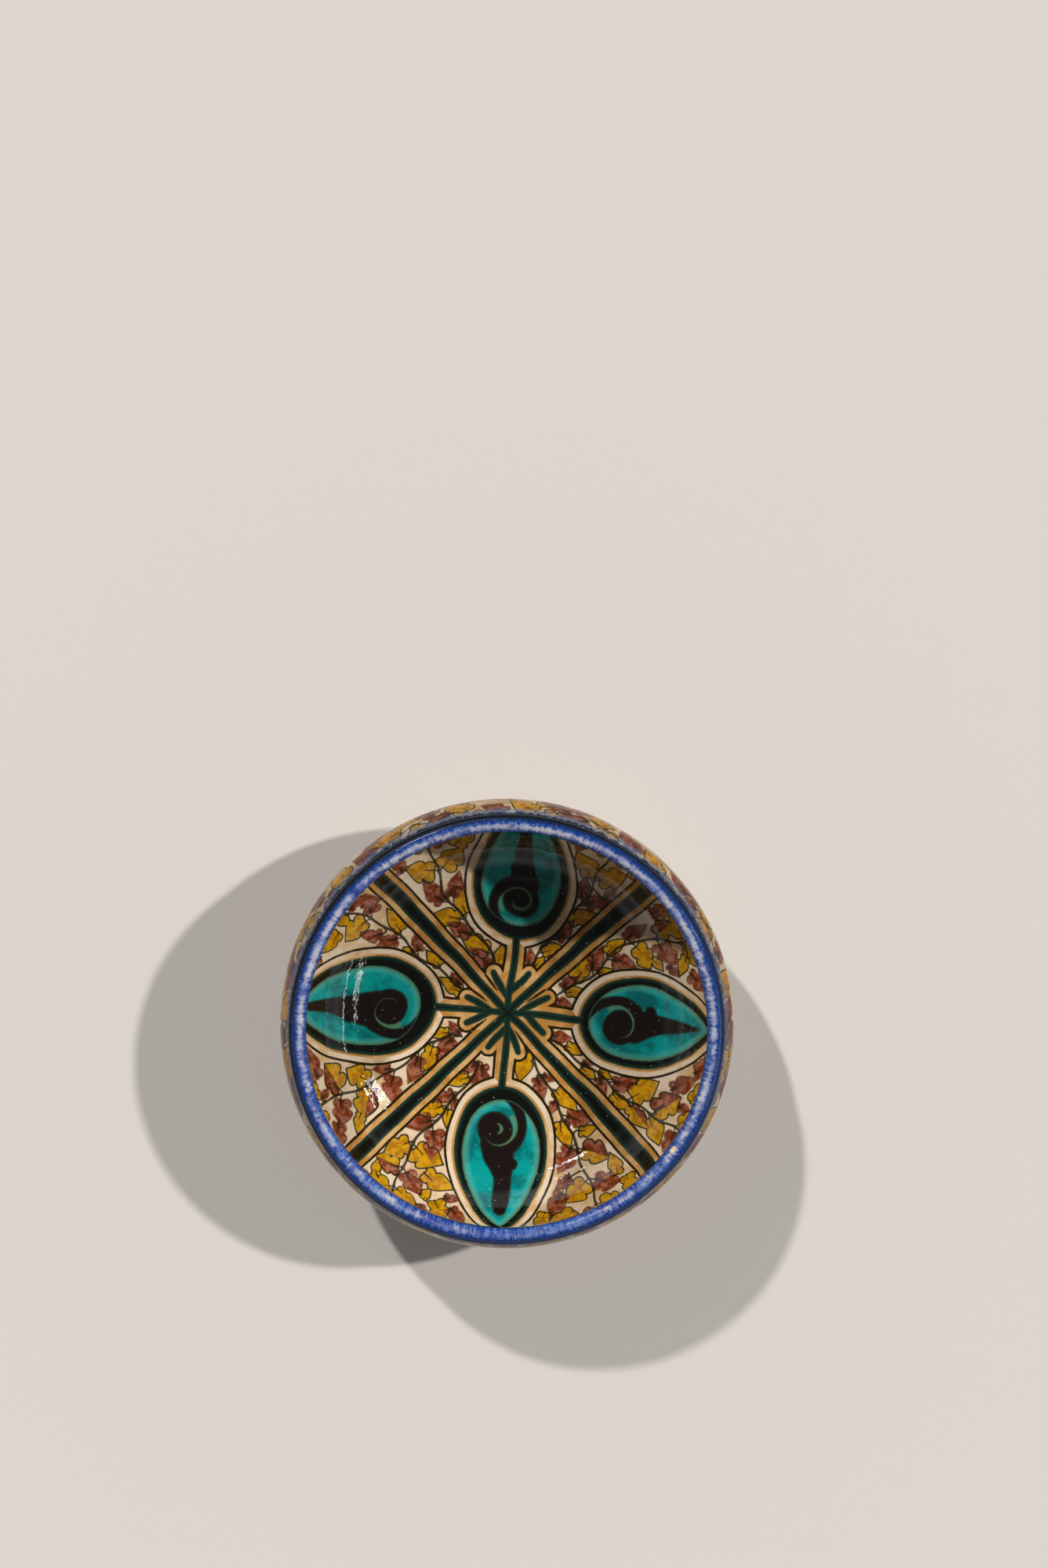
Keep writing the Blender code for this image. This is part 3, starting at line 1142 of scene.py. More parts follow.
        if few == many:
            return [faces((0, number), (1, number), (1, number + 1), (0, number + 1))] if few > 1 else []
        if few == 1:
            return [faces((0, number * 0), (1, number), (1, number + 1))]
        if many == 1:
            return [faces((0, number), (1, number * 0), (0, number + 1))]
        if many == 2 * few:
            return [
                faces((0, number), (1, 2 * number), (1, 2 * number + 1)),
                faces((0, number), (1, 2 * number + 1), (0, number + 1)),
                faces((0, number + 1), (1, 2 * number + 1), (1, 2 * number + 2)),
            ]
        if few == 2 * many:
            return [
                faces((0, 2 * number), (1, number), (0, 2 * number + 1)),
                faces((0, 2 * number + 1), (1, number), (1, number + 1)),
                faces((0, 2 * number + 1), (1, number + 1), (0, 2 * number + 2)),
            ]
        raise ValueError(f"rings of {few} and {many} vertices don't join")

    def build(self, node: str, slot: str, finish: bpy.types.Material) -> bpy.types.Object:
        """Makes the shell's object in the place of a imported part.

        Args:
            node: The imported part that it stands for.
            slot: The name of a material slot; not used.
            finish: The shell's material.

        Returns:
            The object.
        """
        reach, rise = Throwing.apply(self.reach, self.rise, self.turn)
        points = np.column_stack([reach[:, None] * ways_at(self.turn), rise])
        faces, places = self._faces()
        mesh = bpy.data.meshes.new(self.name)
        mesh.from_pydata(points.tolist(), [], faces)
        mesh.uv_layers.new(name="OFBake").data.foreach_set("uv", places.ravel())
        for name, values in self.layers.items():
            kind, part = ("FLOAT_VECTOR", "vector") if values.ndim == 2 else ("FLOAT", "value")
            layer = mesh.attributes.new(name, kind, "POINT")
            layer.data.foreach_set(part, values.astype(np.float32).ravel())
        mesh.polygons.foreach_set("use_smooth", np.ones(len(faces), bool))
        mesh.materials.append(finish)
        mesh.validate()
        piece = bpy.data.objects.new(self.name, mesh)
        bpy.context.scene.collection.objects.link(piece)
        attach(piece, BODY)
        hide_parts(node)
        return piece


class Finish:
    """The node tree of one finish: its colours laid on coat by coat, then its shine."""

    def __init__(self, name: str) -> None:
        """Starts the material.

        Args:
            name: The real material's name.
        """
        self.material = bpy.data.materials.new(name)
        self.material.use_nodes = True
        self.tree = self.material.node_tree
        self.tree.nodes.clear()
        self.spot = put(self.tree, "TexCoord", out="Object")

    def coat(
        self, under: Paint, paint: Paint, depth: Socket, bare: float, full: float, most: Any = 1.0
    ) -> Socket:
        """Lays one colour over another.

        Args:
            under: The colour underneath, as an sRGB hex or a socket.
            paint: The colour laid on, as an sRGB hex or a socket.
            depth: What tells how much of it there is.
            bare: The depth at which there is none.
            full: The depth at which it covers the most.
            most: The most that it covers, from 0 to 1, as a number or a socket.

        Returns:
            The colour after the coat.
        """
        cover = put(self.tree, "MapRange", {0: depth, 1: bare, 2: full, 4: most}, **SOFT)
        under, paint = (linear(tone) if isinstance(tone, str) else tone for tone in (under, paint))
        return put(self.tree, "Mix", {0: cover, 6: under, 7: paint}, 2, data_type="RGBA")

    def end(
        self, colour: Paint, bump: Socket | None = None, depth: float = 0.0, **shine: Any
    ) -> bpy.types.Material:
        """Gives the coats their shine.

        Args:
            colour: The colour after the last coat, as an sRGB hex or a socket.
            bump: The surface's fine height, from 0 to 1, or None.
            depth: How far the height reaches, in millimetres.
            **shine: The shader's other inputs.

        Returns:
            The material.
        """
        inputs = {"Base Color": linear(colour) if isinstance(colour, str) else colour, **shine}
        if bump is not None:
            relief = {"Strength": 1.0, "Distance": depth * MM, "Height": bump}
            inputs["Normal"] = put(self.tree, "Bump", relief)
        put(self.tree, "OutputMaterial", {"Surface": put(self.tree, "BsdfPrincipled", inputs)})
        return self.material


class Brushwork(Finish):
    """A finish laid on with a loaded brush: clouds of colour and unsteady edges."""

    # The flecks, patches, clouds and swellings of the wash, in millimetres.
    SIZES = (0.5, 2.2, 9.0, 4.5)

    def __init__(self, name: str) -> None:
        """Starts the material.

        Args:
            name: The real material's name.
        """
        super().__init__(name)
        self.fine, self.middle, self.broad, self.swell = (
            put(self.tree, "TexNoise", {"Vector": self.spot, "Scale": 1 / (size * MM), **CLOUDY})
            for size in self.SIZES
        )
        self.shake, self.fray = (
            put(self.tree, "Math", {0: cloud, 1: 0.5}, operation="SUBTRACT")
            for cloud in (self.middle, self.fine)
        )

    def depth(self, pigment: Pigment, wide: float, small: float) -> Socket:
        """A pigment's depth with the edge that a loaded brush leaves.

        Args:
            pigment: The pigment.
            wide: How far its edge wanders, in millimetres.
            small: How far it frays.

        Returns:
            The depth in millimetres.
        """
        depth = put(self.tree, "Attribute", out="Fac", attribute_name=pigment.value)
        depth = put(self.tree, "Math", {0: self.shake, 1: wide, 2: depth}, operation="MULTIPLY_ADD")
        return put(self.tree, "Math", {0: self.fray, 1: small, 2: depth}, operation="MULTIPLY_ADD")


@dataclass(frozen=True)
class PaintedGlaze:
    """Tin-white ground painted in metal oxides under a clear lead glaze, in sRGB and millimetres."""

    name: str = "painted_lead_glaze"
    ground: str = "#E4D6C0"
    ground_warm: str = "#CDAE80"
    ochre: str = "#D09C0C"
    ochre_deep: str = "#AA7606"
    ochre_edge: str = "#B09A1E"
    manganese: str = "#7E381A"
    manganese_thin: str = "#AE735C"
    manganese_deep: str = "#331204"
    pen: str = "#241D08"
    tan: str = "#B68440"
    tan_pale: str = "#D4AE76"
    black: str = "#0D100D"
    black_edge: str = "#1A3F34"
    turquoise: str = "#009EA0"
    turquoise_deep: str = "#00666C"
    turquoise_pale: str = "#52C8C4"
    fringe: str = "#5A8A66"
    scroll: str = "#1A1212"
    # The pale of open bubbles, and of the painted glints on them.
    pit_and_glint: str = "#C4CCC2"
    cobalt_wash: str = "#5A7698"
    cobalt_pool_and_shade: str = "#081226"
    margin: float = 2.3
    line: float = 0.85
    pit_spacing: float = 1.6
    # Where a pit's edge starts and ends, as shares of the spacing.
    pit_edge: tuple[float, float] = (0.13, 0.06)
    streak: float = 1.6
    relief: float = 0.14
    gloss: float = 0.5

    def material(self, figured: bool = False, under_lip: bool = False) -> bpy.types.Material:
        """Makes the painted glaze.

        Args:
            figured: Whether the face carries the broad black drawing.
            under_lip: Whether the lip's cobalt has run on to the face.

        Returns:
            The material.
        """
        work = Brushwork(self.name)
        tree = work.tree
        colour = work.coat(self.ground, self.ground_warm, work.broad, 0.39, 0.66)
        colour = work.coat(colour, self.ground_warm, work.fine, 0.6, 0.8, 0.25)
        colour = self._foliage(work, colour)
        if figured:
            colour = self._figure(work, colour)
        if under_lip:
            colour = self._run(work, colour)
        # Fired glaze gives a wet, slightly rippled shine, pricked by pits that are drawn coarser than they
        # are.
        # The pits' pale specks are partly open bubbles and partly painted glints.
        bare, full = self.pit_edge
        scatter = {"Vector": work.spot, "Scale": 1 / (self.pit_spacing * MM)}
        cells = put(tree, "TexVoronoi", scatter, "Distance")
        chance = put(tree, "MapRange", {0: cells.node.outputs["Color"], 1: 0.54, 2: 0.76, 4: 0.9})
        colour = work.coat(colour, self.pit_and_glint, cells, bare, full, chance)
        hollow = put(tree, "MapRange", {0: cells, 1: bare, 2: full}, **SOFT)
        bump = put(tree, "Math", {0: work.fine, 1: 0.04, 2: work.swell}, operation="MULTIPLY_ADD")
        bump = put(tree, "Math", {0: hollow, 1: -0.2, 2: bump}, operation="MULTIPLY_ADD")
        rough = put(tree, "MapRange", {0: work.fine, 1: 0.3, 2: 0.8, 3: 0.03, 4: 0.08}, **SOFT)
        shine = {"Roughness": rough, "IOR": GLAZE_IOR, "Specular IOR Level": self.gloss}
        return work.end(colour, bump, self.relief, **shine)

    def _foliage(self, work: Brushwork, colour: Socket) -> Socket:
        """Lays on the leaves' washes and the pen's lines.

        Args:
            work: The finish.
            colour: The colour underneath.

        Returns:
            The colour after them.
        """
        ochre, brown = work.depth(Pigment.OCHRE, 0.7, 0.3), work.depth(Pigment.MANGANESE, 0.8, 0.4)
        # Ochre settles unevenly and turns greenish at its edges.
        gold = work.coat(self.ochre, self.ochre_deep, work.middle, 0.42, 0.6)
        gold = work.coat(gold, self.ochre_edge, ochre, 1.0, 0.2, 0.6)
        # Manganese breaks to a pinkish brown where it is thin, and gathers in flecks and along its edges.
        wash = work.coat(self.manganese, self.manganese_thin, work.middle, 0.44, 0.6, 0.85)
        wash = work.coat(wash, self.manganese_deep, work.fine, 0.5, 0.68, 0.7)
        wash = work.coat(wash, self.manganese_deep, brown, 0.8, 0.1, 0.5)
        wash = work.coat(wash, self.manganese_deep, work.depth(Pigment.SHADE, 1.4, 0.9), -0.9, 0.7, 0.88)
        outline = put(work.tree, "Math", {0: work.depth(Pigment.LEAF, 0.25, 0.15)}, operation="ABSOLUTE")
        colour = work.coat(colour, gold, ochre, -0.2, 0.25)
        colour = work.coat(colour, wash, brown, -0.35, 0.35)
        colour = work.coat(colour, self.pen, outline, 0.38, 0.14, 0.95)
        return work.coat(colour, self.pen, work.depth(Pigment.PEN, 0.2, 0.15), -0.12, 0.12, 0.95)

    def _figure(self, work: Brushwork, colour: Socket) -> Socket:
        """Lays on the broad black drawing with its margins, and the turquoise fields with their scrolls.

        Args:
            work: The finish.
            colour: The colour underneath.

        Returns:
            The colour after them.
        """
        tree = work.tree
        figure, field = work.depth(Pigment.FIGURE, 0.3, 0.1), work.depth(Pigment.TURQUOISE, 0.4, 0.2)
        edge = -self.margin
        outer = edge - self.line
        colour = work.coat(colour, self.pen, figure, outer - 0.1, outer + 0.1)
        stripe = work.coat(self.tan, self.tan_pale, work.broad, 0.4, 0.65)
        colour = work.coat(colour, stripe, figure, edge - 0.1, edge + 0.1)
        # The margin is tan along the bands, and the bare ground round a medallion.
        lead = put(tree, "Math", {0: work.depth(Pigment.BORDER, 0.3, 0.1), 1: figure}, operation="SUBTRACT")
        inside = put(tree, "MapRange", {0: figure, 1: edge - 0.1, 2: edge + 0.1}, **SOFT)
        off_ring = put(tree, "MapRange", {0: figure, 1: -0.5, 2: -0.9, 4: inside}, **SOFT)
        border = work.coat(self.ground, self.ground_warm, work.broad, 0.44, 0.72)
        colour = work.coat(colour, border, lead, -0.5, -0.2, off_ring)
        colour = work.coat(colour, self.pen, work.depth(Pigment.SEAM, 0.2, 0.1), -0.15, 0.15)
        # The black is thinner and greener towards its edges.
        black = work.depth(Pigment.BLACK, 0.3, 0.15)
        ink = work.coat(self.black, self.black_edge, black, 1.6, 0.1, 0.9)
        colour = work.coat(colour, ink, black, -0.2, 0.25)
        # The turquoise pools in its fields, runs pale towards the rim of each and bleeds into the black.
        water = work.coat(self.turquoise, self.turquoise_deep, work.broad, 0.42, 0.62, 0.9)
        water = work.coat(water, self.turquoise_pale, field, 2.6, 0.6, 0.4)
        colour = work.coat(colour, water, field, -0.6, 0.5)
        shore = put(tree, "Math", {0: field, 1: 0.15}, operation="SUBTRACT")
        shore = put(tree, "Math", {0: shore}, operation="ABSOLUTE")
        colour = work.coat(colour, self.fringe, shore, 0.8, 0.1, 0.65)
        scroll = work.depth(Pigment.SCROLL, 0.3, 0.2)
        curl = work.coat(self.black_edge, self.scroll, scroll, 0.0, 0.8)
        within = put(tree, "MapRange", {0: field, 1: -0.6, 2: 0.1}, **SOFT)
        colour = work.coat(colour, curl, scroll, -0.35, 0.3, within)
        return work.coat(colour, self.fringe, work.depth(Pigment.CURL, 0.2, 0.1), -0.25, 0.25, 0.75)

    def _run(self, work: Brushwork, colour: Socket) -> Socket:
        """Lays on the lip's cobalt, pooled under the lip with painted shade in the groove there, and thinning
        down the wall in streaks.

        Args:
            work: The finish.
            colour: The colour underneath.

        Returns:
            The colour after it.
        """
        drawn = put(work.tree, "Mapping", {"Vector": work.spot, "Scale": (1.0, 1.0, 0.15)})
        streak = put(work.tree, "TexNoise", {"Vector": drawn, "Scale": 1 / (self.streak * MM), **CLOUDY})
        below = put(work.tree, "Attribute", out="Fac", attribute_name="below_lip")
        below = put(work.tree, "Math", {0: streak, 1: -4.0, 2: below}, operation="MULTIPLY_ADD")
        colour = work.coat(colour, self.cobalt_wash, below, 3.4, -0.8, 0.8)
        # A near-black line right under the lip: pooled cobalt and painted shade in the groove.
        return work.coat(colour, self.cobalt_pool_and_shade, below, 0.6, -0.6, 0.95)


# The same painting outside, duller, with darker colours that are painted shade on the outer wall.
DULL_SHADED_GLAZE = PaintedGlaze(
    "painted_lead_glaze_outside", ground="#AE9C7E", ground_warm="#947650", ochre="#A87C14",
    ochre_deep="#865A0A", ochre_edge="#948426", manganese="#63301E", manganese_thin="#7E4E40", gloss=0.12,
)


@dataclass(frozen=True)
class CobaltGlaze:
    """Cobalt brushed round the lip under the clear glaze, in sRGB and millimetres.

    The crest is where the glaze ran thin and where a painted highlight lies, as a share of the way from the
    lip's top to its outer edge.
    """

    deep: str = "#123C98"
    middle: str = "#3E6CC0"
    # Pale is both the thin glaze's colour and that of the painted highlight on the crest.
    pale: str = "#C8CCD8"
    # Navy and near-black stand for pooled cobalt and for painted shade along the lip's edges.
    navy_and_shade: str = "#0A2354"
    pool: str = "#07111C"
    chip: str = "#EAD2AA"
    crest: float = -0.16
    # How far the crest wanders, as a share like it.
    wander: float = 0.35
    sizes: tuple[float, ...] = (0.7, 2.6, 6.0, 3.0)
    streak: float = 1.0
    relief: float = 0.05

    def material(self) -> bpy.types.Material:
        """Makes the cobalt glaze."""
        finish = Finish("cobalt_glaze")
        tree = finish.tree
        grain, blotch, patch, swell = (
            put(tree, "TexNoise", {"Vector": finish.spot, "Scale": 1 / (size * MM), **CLOUDY})
            for size in self.sizes
        )
        brush = put(tree, "Attribute", out="Vector", attribute_name="brush")
        streak = put(tree, "TexNoise", {"Vector": brush, "Scale": 1 / (self.streak * MM), **CLOUDY})
        across, chip, pooled, worn = (
            put(tree, "Attribute", out="Fac", attribute_name=name)
            for name in ("across", "chip", "pooled", "worn")
        )
        # Cobalt lies in fine streaks across the lip, with a grain that is drawn coarser than it is.
        colour = finish.coat(self.deep, self.middle, streak, 0.42, 0.58)
        colour = finish.coat(colour, self.pale, grain, 0.54, 0.68, 0.35)
        # The glaze ran off the crest and left it pale, more so in some places than in others. The pale crest
        # is also a painted highlight that comes and goes round the lip.
        thin = put(tree, "Math", {0: patch, 1: self.wander, 2: across}, operation="MULTIPLY_ADD")
        thin = put(tree, "Math", {0: thin, 1: self.crest + self.wander / 2}, operation="SUBTRACT")
        thin = put(tree, "Math", {0: thin}, operation="ABSOLUTE")
        thin = put(tree, "Math", {0: streak, 1: -0.4, 2: thin}, operation="MULTIPLY_ADD")
        most = put(tree, "Math", {0: worn, 1: 0.13, 2: patch}, operation="MULTIPLY_ADD")
        most = put(tree, "MapRange", {0: most, 1: 0.38, 2: 0.6, 3: 0.15, 4: 0.9})
        colour = finish.coat(colour, self.pale, thin, 0.03, -0.18, most)
        colour = finish.coat(colour, self.deep, blotch, 0.54, 0.62, 0.6)
        # It gathered dark along both edges, and darkest outside. This dark is partly pooled cobalt and partly
        # painted shade: in the groove under the lip's outer side, heaviest towards its upper left, and along
        # its inner edge.
        down = put(tree, "Math", {0: streak, 1: 0.4, 2: across}, operation="MULTIPLY_ADD")
        dark = put(tree, "Math", {0: pooled, 1: 0.14, 2: down}, operation="MULTIPLY_ADD")
        colour = finish.coat(colour, self.navy_and_shade, down, 0.14, 0.46, 0.94)
        colour = finish.coat(colour, self.pool, dark, 0.46, 0.66, 0.97)
        colour = finish.coat(colour, self.navy_and_shade, across, -0.5, -0.68, 0.95)
        colour = finish.coat(colour, self.chip, chip, -0.15, 0.1)
        bump = put(tree, "Math", {0: streak, 1: 0.5, 2: swell}, operation="MULTIPLY_ADD")
        rough = put(tree, "MapRange", {0: grain, 1: 0.3, 2: 0.8, 3: 0.06, 4: 0.14}, **SOFT)
        # The glaze looks wet. Its outer edge shines less, so that the pale floor doesn't veil its dark tone.
        gloss = put(tree, "MapRange", {0: across, 1: 0.15, 2: 0.4, 3: 0.5, 4: 0.04}, **SOFT)
        shine = {"Roughness": rough, "IOR": GLAZE_IOR, "Specular IOR Level": gloss}
        return finish.end(colour, bump, self.relief, **shine)


@dataclass(frozen=True)
class BuffClay:
    """Fired buff earthenware, bare or under a thin clear glaze, in sRGB and millimetres.

    The sizes are those of its clouds, its flecks and its fine relief. A cover has the shades of the pattern
    at which there is none of a colour and at which there is the most, and that most.
    """

    name: str
    colour: str
    cloud: str
    fleck: str
    sizes: tuple[float, float, float]
    cloud_cover: tuple[float, float, float]
    fleck_cover: tuple[float, float, float]
    relief: float
    roughness: float

    def material(self) -> bpy.types.Material:
        """Makes the clay."""
        finish = Finish(self.name)
        cloud, fleck, height = (
            put(finish.tree, "TexNoise", {"Vector": finish.spot, "Scale": 1 / (size * MM), **CLOUDY})
            for size in self.sizes
        )
        colour = finish.coat(self.colour, self.cloud, cloud, *self.cloud_cover)
        colour = finish.coat(colour, self.fleck, fleck, *self.fleck_cover)
        return finish.end(colour, height, self.relief, Roughness=self.roughness, IOR=CLAY_IOR)


# Bare clay looks chalky and sandy. The grit is drawn coarser than it is, so that it shows.
BARE_CLAY = BuffClay(
    "buff_earthenware", "#C9A274", cloud="#DDBF95", fleck="#7E5732", sizes=(6.0, 0.4, 0.4),
    cloud_cover=(0.4, 0.7, 1.0), fleck_cover=(0.62, 0.72, 0.6), relief=0.15, roughness=0.85,
)
# Under a thin wiped glaze, the body's buff shows through a dull shine, stained and flecked with iron.
CLEAR_GLAZE = BuffClay(
    "clear_glaze_on_buff_clay", "#CDB284", cloud="#A17D48", fleck="#6B4B25", sizes=(5.0, 0.5, 2.0),
    cloud_cover=(0.45, 0.75, 0.8), fleck_cover=(0.64, 0.72, 0.5), relief=0.12, roughness=0.24,
)


@dataclass(frozen=True)
class PaintedLining:
    """The painted glaze inside, from the floor's middle up to the lip."""

    form: BowlForm
    painting: LiningPainting = LiningPainting()
    finish: PaintedGlaze = PaintedGlaze()
    step: float = 0.33 * MM
    # In millimetres: the hand's slow and quick unsteadiness, the throwing rings and the thicker turquoise.
    slow: float = 0.3
    quick: float = 0.14
    ring_spacing: float = 6.5
    ring_height: float = 0.05
    lump_lengths: tuple[float, float] = (7.0, 11.0)
    pool_height: float = 0.1
    # Over these lengths the rings fade in at the middle and out at the lip, and the turquoise thins at its
    # edge.
    fade_in: float = 12.0
    fade_out: float = 6.0
    pool_edge: float = 1.5
    # How thick the turquoise is right at its edge, as a share.
    pool_start: float = 0.4

    def build(self) -> bpy.types.Object:
        """Makes the lining and paints it."""
        front = resample(self.form.lining(), self.step)
        back = behind(front, self.form.glaze)
        back[-1, 0] = 0.0
        shell = TurnedShell("painted_lining", front, back)
        flat = shell.along[:, None] * ways_at(shell.turn)
        shell.paint(self.painting, self._unsteady(flat))
        shell.push(self._relief(shell))
        return shell.build("inner_glaze", "painted_inside", self.finish.material(figured=True))

    def _unsteady(self, flat: np.ndarray) -> np.ndarray:
        """Moves the sheet's points a little, as an unsteady hand would the painting's lines."""
        across, up = flat.T
        # Each place is divided by the length of a wave, in millimetres.
        slow = [
            np.sin(up / 5.3 + 1.1) * np.cos(across / 8.9),
            np.sin(across / 5.9 - 0.4) * np.cos(up / 7.7 + 2.0),
        ]
        quick = [np.sin(across / 2.9 + up / 4.1), np.cos(up / 3.1 - across / 3.7)]
        return flat + self.slow * np.column_stack(slow) + self.quick * np.column_stack(quick)

    def _relief(self, shell: TurnedShell) -> np.ndarray:
        """How far the throwing rings and the turquoise stand out from the face, in millimetres."""
        along, turn = shell.along, shell.turn
        fade = np.clip(along / self.fade_in, 0, 1) * np.clip((along.max() - along) / self.fade_out, 0, 1)
        rings = np.sin(2 * math.pi * along / self.ring_spacing + turn)
        short, long = self.lump_lengths
        lumps = np.sin(along / short + 3 * turn) * np.sin(2 * turn + along / long)
        depth = shell.layers[Pigment.TURQUOISE.value]
        pool = self.pool_height * np.clip(depth / self.pool_edge + self.pool_start, 0, 1)
        return self.ring_height * (rings + lumps) * fade + pool


@dataclass(frozen=True)
class CobaltLip:
    """The cobalt glaze round the rolled lip, with a small chip on the inner side of its top.

    Angles are in degrees, the chip's place across the lip from -1 inside to 1 outside, and its size and the
    glaze's swelling in millimetres.
    """

    form: BowlForm
    finish: CobaltGlaze = CobaltGlaze()
    step: float = 0.3 * MM
    back_step: float = 1.5 * MM
    back_droop: float = 8.0
    # Where round the lip, in degrees, the pooled cobalt and the painted shade on its outer edge are darkest.
    pool_and_shade_angle: float = 130.0
    # How the pale crest, partly thin glaze and partly a painted highlight, comes and goes round the lip.
    wear_and_highlight: tuple[Wave, ...] = ((0.6, 1, math.radians(-80.0)), (0.4, 2, math.radians(-20.0)))
    chip_angle: float = 324.5
    chip_across: float = -0.25
    chip_size: tuple[float, float] = (1.1, 0.75)
    chip_depth: float = 0.35
    # How uneven the chip's outline is, as a share of its size, and over what depth its side slopes.
    chip_ragged: float = 0.2
    chip_slope: float = 0.5
    swelling: float = 0.06
    swell_lengths: tuple[float, float] = (9.0, 23.0)
    # How much slower the brush's streaks change across the lip than along it.
    brush_draw: float = 0.12

    def build(self) -> bpy.types.Object:
        """Makes the lip's glaze."""
        form = self.form
        inner, outer = [[form.neck_inner, form.neck]], [[form.neck_outer, form.neck]]
        front = resample(np.vstack([inner, form.lip(), outer]), self.step)
        back = resample(form.lip(form.glaze, self.back_droop)[::-1], self.back_step)
        shell = TurnedShell("cobalt_lip", front, back)
        half, radius = shell.along.max() / 2, form.lip_outer / MM
        across = np.where(shell.on_front, shell.along / half - 1, 0.0)
        off = np.angle(np.exp(1j * (shell.turn - math.radians(self.chip_angle)))) * radius
        up = (across - self.chip_across) * half
        inside = 1 - np.hypot(off / self.chip_size[0], up / self.chip_size[1])
        inside = inside + self.chip_ragged * np.sin(5 * off + 2) * np.cos(4 * up)
        chip = np.where(shell.on_front, inside * min(self.chip_size), NOWHERE)
        brush = np.column_stack([radius * ways_at(shell.turn), self.brush_draw * shell.along])
        shell.layers.update(
            across=across,
            chip=chip,
            pooled=np.cos(shell.turn - math.radians(self.pool_and_shade_angle)),
            worn=waves(shell.turn, self.wear_and_highlight),
            brush=MM * brush,
        )
        short, long = (radius * shell.turn / length for length in self.swell_lengths)
        swell = self.swelling * np.sin(short) * np.sin(long + 1.0)
        hollow = self.chip_depth * np.clip(chip / self.chip_slope, 0, 1)
        shell.push(np.where(shell.on_front, swell - hollow, 0.0))
        return shell.build("rim_glaze", "cobalt_rim", self.finish.material())


@dataclass(frozen=True)
class PaintedOutside:
    """The painted glaze outside, from under the lip down to the glaze's lower edge."""

    form: BowlForm
    painting: OutsidePainting = OutsidePainting()
    finish: PaintedGlaze = DULL_SHADED_GLAZE
    step: float = 0.4 * MM
    # In millimetres: how far the throwing rings and the slow unevenness stand out, how long their waves are,
    # and over what length they fade at both edges.
    ring_height: float = 0.06
    lump_height: float = 0.08
    ring_length: float = 1.1
    lump_length: float = 9.0
    fade: float = 5.0

    def build(self) -> bpy.types.Object:
        """Makes the outside and paints it."""
        front = resample(self.form.outside(), self.step)
        shell = TurnedShell("painted_outside", front, behind(front, self.form.glaze))
        along, turn = shell.along, shell.turn
        lap = 2 * math.pi * self.form.belly[0] / MM
        shell.paint(self.painting, np.column_stack([turn / (2 * math.pi) * lap, along.max() - along]), lap)
        shell.layers["below_lip"] = np.where(shell.on_front, along, -NOWHERE)
        fade = np.clip(along / self.fade, 0, 1) * np.clip((along.max() - along) / self.fade, 0, 1)
        rings, lumps = np.sin(along / self.ring_length + turn), np.sin(3 * turn + along / self.lump_length)
        shell.push(fade * (self.ring_height * rings + self.lump_height * lumps))
        return shell.build("outer_glaze", "painted_outside", self.finish.material(under_lip=True))


@dataclass(frozen=True)
class TurnedFoot:
    """The bare clay foot ring, turned true with a blunt tool whose marks are in millimetres."""

    part: bpy.types.Object
    step: float = 0.3 * MM
    back_step: float = 1.0 * MM
    mark_height: float = 0.05
    mark_length: float = 0.2
    # The marks fade out over this height above the face on which the bowl rests.
    fade: float = 0.8 * MM

    def build(self, clay: bpy.types.Material) -> bpy.types.Object:
        """Makes the foot.

        Args:
            clay: The bare clay.

        Returns:
            The foot's object.
        """
        corners = np.unique(np.round(section(self.part), 6), axis=0)
        around = np.arctan2(*(corners - corners.mean(0)).T[::-1])
        loop = corners[np.argsort(-around)]
        loop = np.roll(loop, -loop.sum(1).argmax(), axis=0)
        inner_top = (loop[:, 1] - loop[:, 0]).argmax()
        front = resample(loop[:inner_top + 1], self.step)
        back = resample(np.vstack([loop[inner_top:], loop[:1]]), self.back_step)[1:-1]
        shell = TurnedShell("turned_foot", front, back)
        marks = self.mark_height * np.sin(shell.along / self.mark_length)
        shell.push(np.where(shell.on_front, marks, 0.0) * np.clip(shell.rise / self.fade, 0, 1))
        return shell.build("foot_ring", "buff_clay", clay)


@dataclass(frozen=True)
class BaseGlaze:
    """The thin glaze wiped under the base, inside the foot ring."""

    part: bpy.types.Object
    glaze: float
    finish: BuffClay = CLEAR_GLAZE
    step: float = 0.5 * MM

    def build(self) -> bpy.types.Object:
        """Makes the base's glaze."""
        under = section(self.part)
        radii = np.unique(np.round(under[:, 0], 5))
        low = [under[np.abs(under[:, 0] - radius) < NEAR, 1].min() for radius in radii]
        reach = np.linspace(radii[-1], 0.0, round(radii[-1] / self.step) + 1)
        front = np.column_stack([reach, np.interp(reach, radii, low)])
        back = resample(front + [0.0, self.glaze], BACK_STEP)[::-1]
        shell = TurnedShell("base_glaze_wash", front, back)
        return shell.build("base_glaze", "clear_base", self.finish.material())


class LampKind(Enum):
    """What a lamp is for: a far key lights the colours evenly, a near panel shows in the shine."""

    KEY = "SUN"
    PANEL = "AREA"


